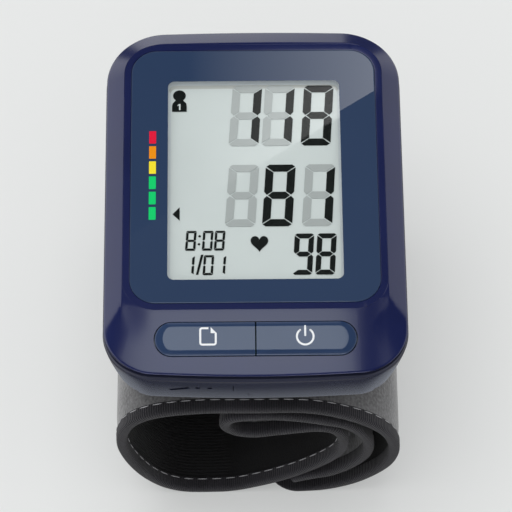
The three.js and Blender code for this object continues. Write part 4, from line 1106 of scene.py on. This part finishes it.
cuffMiddleY = (limitsOf("cuff_binding_front")[0][1] + limitsOf("cuff_binding_back")[1][1]) / 2
halfBreadth, halfThickness = cuffSizes["breadth"] / 2, cuffSizes["thickness"] / 2
strapLow, strapHigh = halfThickness - cuffSizes["standCut"], cuffSizes["height"] - halfThickness


def strapKnots():
    s = cuffSizes
    half, layer = (s["width"] - s["thickness"]) / 2, s["thickness"] + s["foldGap"]
    return [
        Vector((s["offset"] + across * half, strapLow + (strapHigh - strapLow) * up - layers * layer))
        for across, up, layers in strapRoute
    ]


knots = strapKnots()


# A point on the centripetal curve through the knots, at a share of their count
def strapPoint(share):
    last = len(knots) - 1
    place = share * last
    i = min(int(place), last - 1)
    w = place - i
    p1, p2 = knots[i], knots[i + 1]
    p0 = knots[i - 1] if i else 2 * knots[0] - knots[1]
    p3 = knots[i + 2] if i + 2 <= last else 2 * knots[-1] - knots[-2]
    d0, d1, d2 = (max((b - a).length, 1e-6) ** 0.5 for a, b in ((p0, p1), (p1, p2), (p2, p3)))
    t1 = ((p1 - p0) / d0 - (p2 - p0) / (d0 + d1) + (p2 - p1) / d1) * d1
    t2 = ((p2 - p1) / d1 - (p3 - p1) / (d1 + d2) + (p3 - p2) / d2) * d1
    return p1 + t1 * w + (-3 * p1 + 3 * p2 - 2 * t1 - t2) * w * w + (2 * p1 - 2 * p2 + t1 + t2) * w**3


# Places along the strap: middle, outward direction and length so far
def strapStations(fromShare=0.0, toShare=1.0):
    total = (len(knots) - 1) * cuffSizes["stationsPerPoint"]
    first, last = round(fromShare * total), round(toShare * total)
    stations, travelled, previous = [], 0.0, strapPoint(0)
    for n in range(total + 1):
        here = strapPoint(n / total)
        ahead, behind = strapPoint(min(n + 0.5, total) / total), strapPoint(max(n - 0.5, 0) / total)
        tangent = (ahead - behind).normalized()
        travelled += (here - previous).length
        previous = here
        if first <= n <= last:
            stations.append((here, Vector((-tangent.y, tangent.x)), travelled))
    return stations


strapTravel = strapStations()[-1][2]
print("strap length", round(strapTravel, 1), "mm")


# Near its outer end the strap thins towards the face that lies on the floor
def thinned(height, travelled):
    share = softStep((strapTravel - travelled) / cuffSizes["taperLength"])
    return strapLow - (strapLow - height) * (cuffSizes["tipShare"] + (1 - cuffSizes["tipShare"]) * share)


# How far the strap's edges draw in at its rounded outer end
def drawnIn(travelled):
    radius = cuffSizes["tipRadius"]
    near = max(0.0, 1 - (strapTravel - travelled) / radius)
    return radius * (1 - math.sqrt(max(1 - near * near, 0)))


# A point beside the strap's middle line, kept above the floor
def besideStrap(here, outward, y, lift, least):
    return here.x + outward.x * lift, cuffMiddleY + y, max(here.y + outward.y * lift, least)


# Sweeps a closed section along the strap. The section function gives pairs of place across and height
def sweepStrap(name, section, material, fromShare=0.0, toShare=1.0):
    rings, along, across = [], [], []
    for here, outward, travelled in strapStations(fromShare, toShare):
        ring = [(y, thinned(h, travelled)) for y, h in section(travelled)]
        low, high, pull = min(ring)[0], max(ring)[0], drawnIn(travelled)
        if low * high > 0:
            ring = [(y - math.copysign(pull, low), h) for y, h in ring]
        else:
            ring = [(y * (1 - pull / high), h) for y, h in ring]
        rings.append([besideStrap(here, outward, y, h, 0.02) for y, h in ring])
        along.append(travelled)
        girth = [0.0]
        for a, b in zip(ring, ring[1:] + ring[:1]):
            girth.append(girth[-1] + math.dist(a, b))
        across.append(girth)
    piece = loftPiece(name, rings, [material], sharpAngle=50)
    count = len(rings[0])
    chart = piece.data.uv_layers.new(name="strapMap")
    for polygon in piece.data.polygons:
        spots = [piece.data.loops[k].vertex_index for k in polygon.loop_indices]
        columns = [v % count for v in spots]
        wraps = max(columns) == count - 1 and 0 in columns and len(spots) == 4
        for k, vertex in zip(polygon.loop_indices, spots):
            row, column = divmod(vertex, count)
            if wraps and column == 0:
                column = count
            chart.data[k].uv = (along[row] * millimetre, across[row][column] * millimetre)
    return piece


def waver(travelled, scale, seed):
    return noise.noise(Vector((travelled / scale, seed, 0.37)))


# A flat band of the strap with soft edges, set in from the tape; its outer face is a little uneven
def bandSection(margin, low, high, faceSide, unevenness, steps=22, edgeDrop=0.25):
    half = fabricEdge - margin

    def section(travelled):
        face, flat = [], []
        for i in range(steps + 1):
            share = i / steps
            y = -half + (half + half) * share
            edge = min(share, 1 - share) * (half + half)
            dip = edgeDrop * max(0, 1 - edge / 1.6) ** 2
            puff = unevenness * (waver(travelled, 14, y / 16) + 0.4 * waver(travelled, 5, 9 + y / 6))
            face.append((y, (high if faceSide > 0 else low) + faceSide * (puff - dip)))
            flat.append((y, low if faceSide > 0 else high))
        return flat + face[::-1] if faceSide > 0 else face + flat[::-1]

    return section


# Binding tape folded round an edge: rounded outside, drawn in along the seam
def tapeSection(side):
    def section(travelled):
        s, inner, seam = cuffSizes, halfBreadth - cuffSizes["tapeBreadth"], halfBreadth - cuffSizes["stitchInset"]
        edge = halfBreadth + 0.12 * waver(travelled, 9, 3.1 * side)
        swell = 0.06 * waver(travelled, 6, 7.7 * side)
        pull = 0.07 + 0.05 * math.cos(2 * math.pi * travelled / s["stitchPitch"])
        start = edge - s["tapeRound"]
        top, nose = [], []
        for i in range(9):
            y = inner + (start - inner) * i / 8
            dip = pull * math.exp(-(((y - seam) / 0.45) ** 2))
            top.append((y, halfThickness + swell - dip + (0.0 if i else -0.12)))
        for i in range(1, 10):
            angle = math.pi / 2 - math.pi * i / 10
            c, sn = math.cos(angle), math.sin(angle)
            height = (halfThickness + swell) * math.copysign(abs(sn) ** 0.75, sn)
            nose.append((start + s["tapeRound"] * c**0.8, height))
        loop = [(side * y, h) for y, h in top + nose + [(y, -h) for y, h in top[::-1]]]
        return loop[::-1] if side > 0 else loop

    return section


fabricEdge = halfBreadth - cuffSizes["tapeBreadth"] - 0.05
strapLayers = {
    "velour": {"margin": 0, "low": 0.22, "high": 1.2, "faceSide": 1, "unevenness": 0.1},
    "lining": {"margin": 0, "low": -1.2, "high": -0.75, "faceSide": -1, "unevenness": 0.05},
    "foam": {"margin": 5, "low": -0.55, "high": 0.12, "faceSide": 1, "unevenness": 0.02},
    "bladder": {"margin": 5, "low": -0.55, "high": 0.1, "faceSide": 1, "unevenness": 0.02},
    "hook": {"margin": 8, "low": -1.95, "high": -1.35, "faceSide": -1, "unevenness": 0.02},
}
# Shares of the strap's length that the short layers cover
strapReaches = {"foam": (0.02, 0.53), "bladder": (0.55, 0.86), "hook": (0.025, 0.1)}


def sweepLayer(name, layer, material):
    return sweepStrap(name, bandSection(**strapLayers[layer]), material, *strapReaches.get(layer, ()))


velour = sweepLayer("cuffVelour", "velour", velourGrey)
lining = sweepLayer("cuffKnit", "lining", liningKnit)
foam = sweepLayer("cuffFoam", "foam", foamDark)
bladder = sweepLayer("cuffAirBag", "bladder", bladderFilm)
hookPiece = sweepLayer("cuffHookTape", "hook", hookTape)
frontTape = sweepStrap("cuffTapeFront", tapeSection(-1), tapeWeave)
backTape = sweepStrap("cuffTapeBack", tapeSection(1), tapeWeave)


# Stitches by geometry nodes: one capsule at each pitch along a path, turned to the strap's own outward side
def stitchTree():
    inputs = {"Geometry": "Geometry", "Pitch": 0.004, "Stitch Length": 0.003, "Thread Radius": 0.0002}
    inputs["Thread"] = "Material"
    tree, entry, leave = startGroup("stitchRow", "GeometryNodeTree", inputs, {"Geometry": "Geometry"})

    def add(kind, output, values=None, **settings):
        return addNode(tree, kind, values, **settings).outputs[output]

    curve = add("GeometryNodeMeshToCurve", "Curve", {"Mesh": entry["Geometry"]})
    points = add("GeometryNodeResampleCurve", "Curve", {"Curve": curve, "Length": entry["Pitch"]}, mode="LENGTH")
    outward = add("GeometryNodeInputNamedAttribute", "Attribute", {"Name": "outward"}, data_type="FLOAT_VECTOR")
    axes = {"Primary Axis": outward, "Secondary Axis": add("GeometryNodeInputTangent", "Tangent")}
    turn = add("FunctionNodeAxesToRotation", "Rotation", axes, primary_axis="Z", secondary_axis="X")
    drum = add("GeometryNodeMeshUVSphere", "Mesh", {"Segments": 8, "Rings": 6, "Radius": 1.0})
    size = add("ShaderNodeCombineXYZ", "Vector", {
        "X": addMath(tree, "MULTIPLY", entry["Stitch Length"], 0.5),
        "Y": entry["Thread Radius"],
        "Z": addMath(tree, "MULTIPLY", entry["Thread Radius"], 0.55),
    })
    copies = {"Points": points, "Instance": drum, "Rotation": turn, "Scale": size}
    row = add("GeometryNodeInstanceOnPoints", "Instances", copies)
    real = add("GeometryNodeRealizeInstances", "Geometry", {"Geometry": row})
    paint = add("GeometryNodeSetMaterial", "Geometry", {"Geometry": real, "Material": entry["Thread"]})
    tree.links.new(paint, leave["Geometry"])
    return tree


def stitchPaths(side):
    seam = halfBreadth - cuffSizes["stitchInset"]
    points, edges, directions = [], [], []
    for face, first, last in ((1, 0.35, 0.996), (-1, 0.4, 0.87)):
        start = len(points)
        for here, outward, travelled in strapStations(first, last):
            lift, y = thinned(face * halfThickness, travelled), side * (seam - drawnIn(travelled))
            points.append(Vector(besideStrap(here, outward, y, lift, cuffSizes["stitchFloor"])) * millimetre)
            directions += [face * outward.x, 0, face * outward.y]
        edges += [(i, i + 1) for i in range(start, len(points) - 1)]
    mesh = bpy.data.meshes.new("stitchPath")
    mesh.from_pydata(points, edges, [])
    mesh.attributes.new("outward", "FLOAT_VECTOR", "POINT").data.foreach_set("vector", directions)
    return mesh


stitchRow = stitchTree()


def buildStitches(name, side):
    piece = addObject(name, stitchPaths(side))
    rows = piece.modifiers.new("stitches", "NODES")
    rows.node_group = stitchRow
    sizes = {"Pitch": "stitchPitch", "Stitch Length": "stitchLength", "Thread Radius": "stitchRadius"}
    for item in stitchRow.interface.items_tree:
        if item.name in sizes:
            rows[item.identifier] = cuffSizes[sizes[item.name]] * millimetre
        elif item.name == "Thread":
            rows[item.identifier] = threadPale
    return applyModifiers(piece, 60)


frontStitches, backStitches = buildStitches("stitchesFront", -1), buildStitches("stitchesBack", 1)
for piece, node, slotName in (
    (velour, "cuff_outer_fabric", "velour"),
    (lining, "cuff_lining", "lining"),
    (foam, "cuff_padding", "foam"),
    (bladder, "cuff_bladder", "bladder"),
    (hookPiece, "hook_patch", "hook_tape"),
    (frontTape, "cuff_binding_front", "binding"),
    (backTape, "cuff_binding_back", "binding"),
    (frontStitches, None, "binding"),
    (backStitches, None, "binding"),
):
    dress(piece, housing, slotName, node)


print("stage: inner pieces")
slotMaterials = {
    "casing": casingPlastic,
    "keys": keyPlastic,
    "lens": lensPrint,
    "lcd_glass": lcdField,
    "white_plastic": whitePlastic,
    "rubber": rubberBlack,
    "component": blackPlastic,
    "steel": steelPlated,
    "brass": brassPlain,
    "board": boardGreen,
    "tube": siliconeTube,
    "cell": cellWrap,
    "velour": velourGrey,
    "lining": liningKnit,
    "bladder": bladderFilm,
    "foam": foamDark,
    "binding": tapeWeave,
    "hook_tape": hookTape,
}
for node, thing in frame["nodes"].items():
    for place in thing.material_slots:
        place.link = "OBJECT"
        place.material = slotMaterials[slotOfNode[node]]


print("stage: floor and light")
lightSizes = {
    "floorSize": 6.0,
    "floorGlow": 0.3,
    "fill": 0.66,
    "fillSlope": 0.24,
    "sideBand": 1.15,
    "frontStrip": 3.6,
    "sun": 1.1,
    "sunSpread": 50,
    "sunTilt": (-10, -9),
    "cardHeight": 1.008,
    "cardGlow": 3.7,
    "cardFade": (-15, 34),
    "overheadCorners": [(-31.5, -52), (-27.5, -24), (21.4, -24), (25.2, -52)],
    "overheadHeight": 30.0,
    "overheadGlow": 2.75,
    "lowGlow": 0.4,
    "lowGlowFront": 0.07,
    "lowHalfWidth": 34,
    "lowDrop": 0.15,
    "lowReach": (-7, 16),
    "lowFade": (-3.2, 0.8),
}


def buildFloor():
    half = lightSizes["floorSize"] / millimetre / 2
    floor = addMesh("floor", [(-half, -half, 0), (half, -half, 0), (half, half, 0), (-half, half, 0)], [(0, 1, 2, 3)])
    material, tree, shader = startMaterial("paleFloor")
    feed(tree, shader, {
        "Base Color": addTone(tree, addGrain(tree, 800.0, 6.0), (0.512, 0.52, 0.517), (0.522, 0.53, 0.527)),
        "Roughness": 0.9,
        "Specular IOR Level": 0.1,
        "Emission Color": (0.985, 1, 0.995, 1),
        "Emission Strength": lightSizes["floorGlow"],
    })
    floor.data.materials.append(material)
    floor.visible_glossy = False
    floor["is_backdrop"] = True


# Shiny surfaces see a studio by direction: a light overhead, a bright band round the horizon with dark gaps, a strip
# low in front, a dim height between. All else is lit by a soft fill that is stronger from the left
def buildSky():
    s = lightSizes
    world = bpy.data.worlds.new("studio")
    world.use_nodes = True
    tree = world.node_tree
    axes = addAxes(tree, "Generated")

    def step(operation, *values):
        return addMath(tree, operation, *values)

    def ramp(value, low, high, stops, top=1):
        node = tree.nodes.new("ShaderNodeValToRGB")
        tree.links.new(step("DIVIDE", step("SUBTRACT", value, low), high - low), node.inputs["Fac"])
        elements = node.color_ramp.elements
        while len(elements) < len(stops):
            elements.new(0.5)
        for element, (place, level) in zip(elements, stops):
            element.position = (place - low) / (high - low)
            element.color = (level / top, level / top, level / top, 1)
        return step("MULTIPLY", node.outputs["Color"], top)

    turn = step("ARCTAN2", step("MULTIPLY", axes["X"], -1.0), axes["Y"])

    def heightRamp(*stops):
        return ramp(axes["Z"], -1, 1, stops)

    def turnRamp(stops, top=1):
        return ramp(turn, -math.pi, math.pi, [(math.radians(angle), level) for angle, level in stops], top)

    broad = heightRamp((-1, 0.55), (-0.96, 0.5), (-0.9, 0.16), (-0.6, 0.14), (-0.4, 0.0), (0.5, 0.0), (0.56, 0.08),
                       (0.94, 0.08), (0.97, 0.5), (1, 0.5))
    around = [(-180, 0.2), (-120, 0.8), (-60, 1.0), (-30, 1.1), (-26, 0.06), (-5, 0.06), (-2, 1.15), (18, 1.15),
              (21, 0.06), (30, 0.06), (33, 1.4), (70, 1.4), (110, 1.2), (180, 0.2)]
    ringed = step("MULTIPLY", heightRamp((-0.62, 0.0), (-0.35, 1.0), (0.34, 1.0), (0.45, 0.0)), turnRamp(around, 1.5))
    lowFront = turnRamp([(-180, 1.0), (-162, 1.0), (-146, 0.0), (146, 0.0), (162, 1.0), (180, 1.0)])
    strip = step("MULTIPLY", lowFront, heightRamp((-0.2, 0.0), (-0.1, 1.0), (0.18, 1.0), (0.26, 0.0)))
    front = step("MULTIPLY", strip, s["frontStrip"])
    studio = step("ADD", broad, step("MULTIPLY_ADD", ringed, s["sideBand"], front))
    fill = step("MULTIPLY_ADD", axes["X"], -s["fill"] * s["fillSlope"], s["fill"])
    glossy = addNode(tree, "ShaderNodeLightPath").outputs["Is Glossy Ray"]
    level = step("ADD", step("MULTIPLY", studio, glossy), step("MULTIPLY", fill, step("SUBTRACT", 1.0, glossy)))
    feed(tree, tree.nodes["Background"], {"Color": (1, 1, 1, 1), "Strength": level})
    scene.world = world


# A glowing card that only shiny surfaces see; glow makes the strength from the card's node tree
def addCard(name, corners, glow, colour=(1, 1, 1, 1)):
    card = addMesh(name, corners, [tuple(range(len(corners)))])
    material, tree, shader = startMaterial(name + "Glow")
    tree.nodes.remove(shader)
    light = addNode(tree, "ShaderNodeEmission", {"Color": colour, "Strength": glow(tree)})
    tree.links.new(light.outputs["Emission"], tree.nodes["Material Output"].inputs["Surface"])
    card.data.materials.append(material)
    card.visible_camera = card.visible_diffuse = card.visible_shadow = card.visible_transmission = False
    card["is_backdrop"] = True


# On the lens the reflection ends at a slanting line
def glareLine(x):
    return -32.5 + (x + 60) * 88 / 130


# The reflection in the lens: it covers the lens beyond the slanting line and glows more to the right
def buildCard():
    mirrored = Vector((cameraPlace.x, cameraPlace.y, 2 * faceTop - cameraPlace.z))
    scale, corner = lightSizes["cardHeight"], lensSizes["corner"]
    onLens, points = [], growOutline(roundedOutline(lensLow, lensHigh, corner, corner, (12, 12, 2, 2)), 0)
    for (x, y), (u, v) in zip(points, points[1:] + points[:1]):
        here, there = y - glareLine(x), v - glareLine(u)
        if here > 0:
            onLens.append((x, y))
        if here * there < 0:
            t = here / (here - there)
            onLens.append((x + (u - x) * t, y + (v - y) * t))
    corners = [tuple(mirrored + (Vector((x, y, faceTop)) - mirrored) * scale) for x, y in onLens]
    left, right = ((edge * scale - mirrored.x * (scale - 1)) * millimetre for edge in lightSizes["cardFade"])

    def glow(tree):
        return addRange(tree, addAxes(tree)["X"], 0.0, lightSizes["cardGlow"], left, right)

    addCard("reflectionCard", corners, glow)


# The light straight above the bezel, whose sides fade on the casing before its corners
def buildOverheadCard():
    z = faceTop + lightSizes["overheadHeight"]
    corners = [(x, y, z) for x, y in lightSizes["overheadCorners"]]
    addCard("overheadCard", corners, lambda tree: lightSizes["overheadGlow"], (0.95, 1.0, 0.985, 1))


# The pale ground that the shell's wall mirrors, brought up above the cuff; it glows upwards only
def buildLowCard():
    s, front = lightSizes, frontY + shellSizes["footInset"]

    def glow(tree):
        limits = [(front + y) * millimetre for y in s["lowFade"]]
        rising = addRange(tree, addAxes(tree)["Y"], s["lowGlowFront"], s["lowGlow"], *limits)
        below = addNode(tree, "ShaderNodeNewGeometry").outputs["Backfacing"]
        return addRange(tree, below, rising, 0.0, 0.0, 1.0)

    half, z = s["lowHalfWidth"], shellBottom - s["lowDrop"]
    near, far = (front + y for y in s["lowReach"])
    corners = [(-half, near, z), (half, near, z), (half, far, z), (-half, far, z)]
    addCard("lowCard", corners, glow, (0.84, 0.9, 1.0, 1))


def buildSun():
    sun = bpy.data.lights.new("softSun", "SUN")
    sun.energy, sun.angle = lightSizes["sun"], math.radians(lightSizes["sunSpread"])
    lamp = addObject("softSun", sun)
    lamp.rotation_euler = (*(math.radians(angle) for angle in lightSizes["sunTilt"]), 0)
    lamp.visible_glossy = False


buildFloor()
buildSky()
buildCard()
buildOverheadCard()
buildLowCard()
buildSun()


def plain(bounds):
    return [[float(v) for v in corner] for corner in bounds]


{"cad": plain(cadBounds), "visual": plain(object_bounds())}
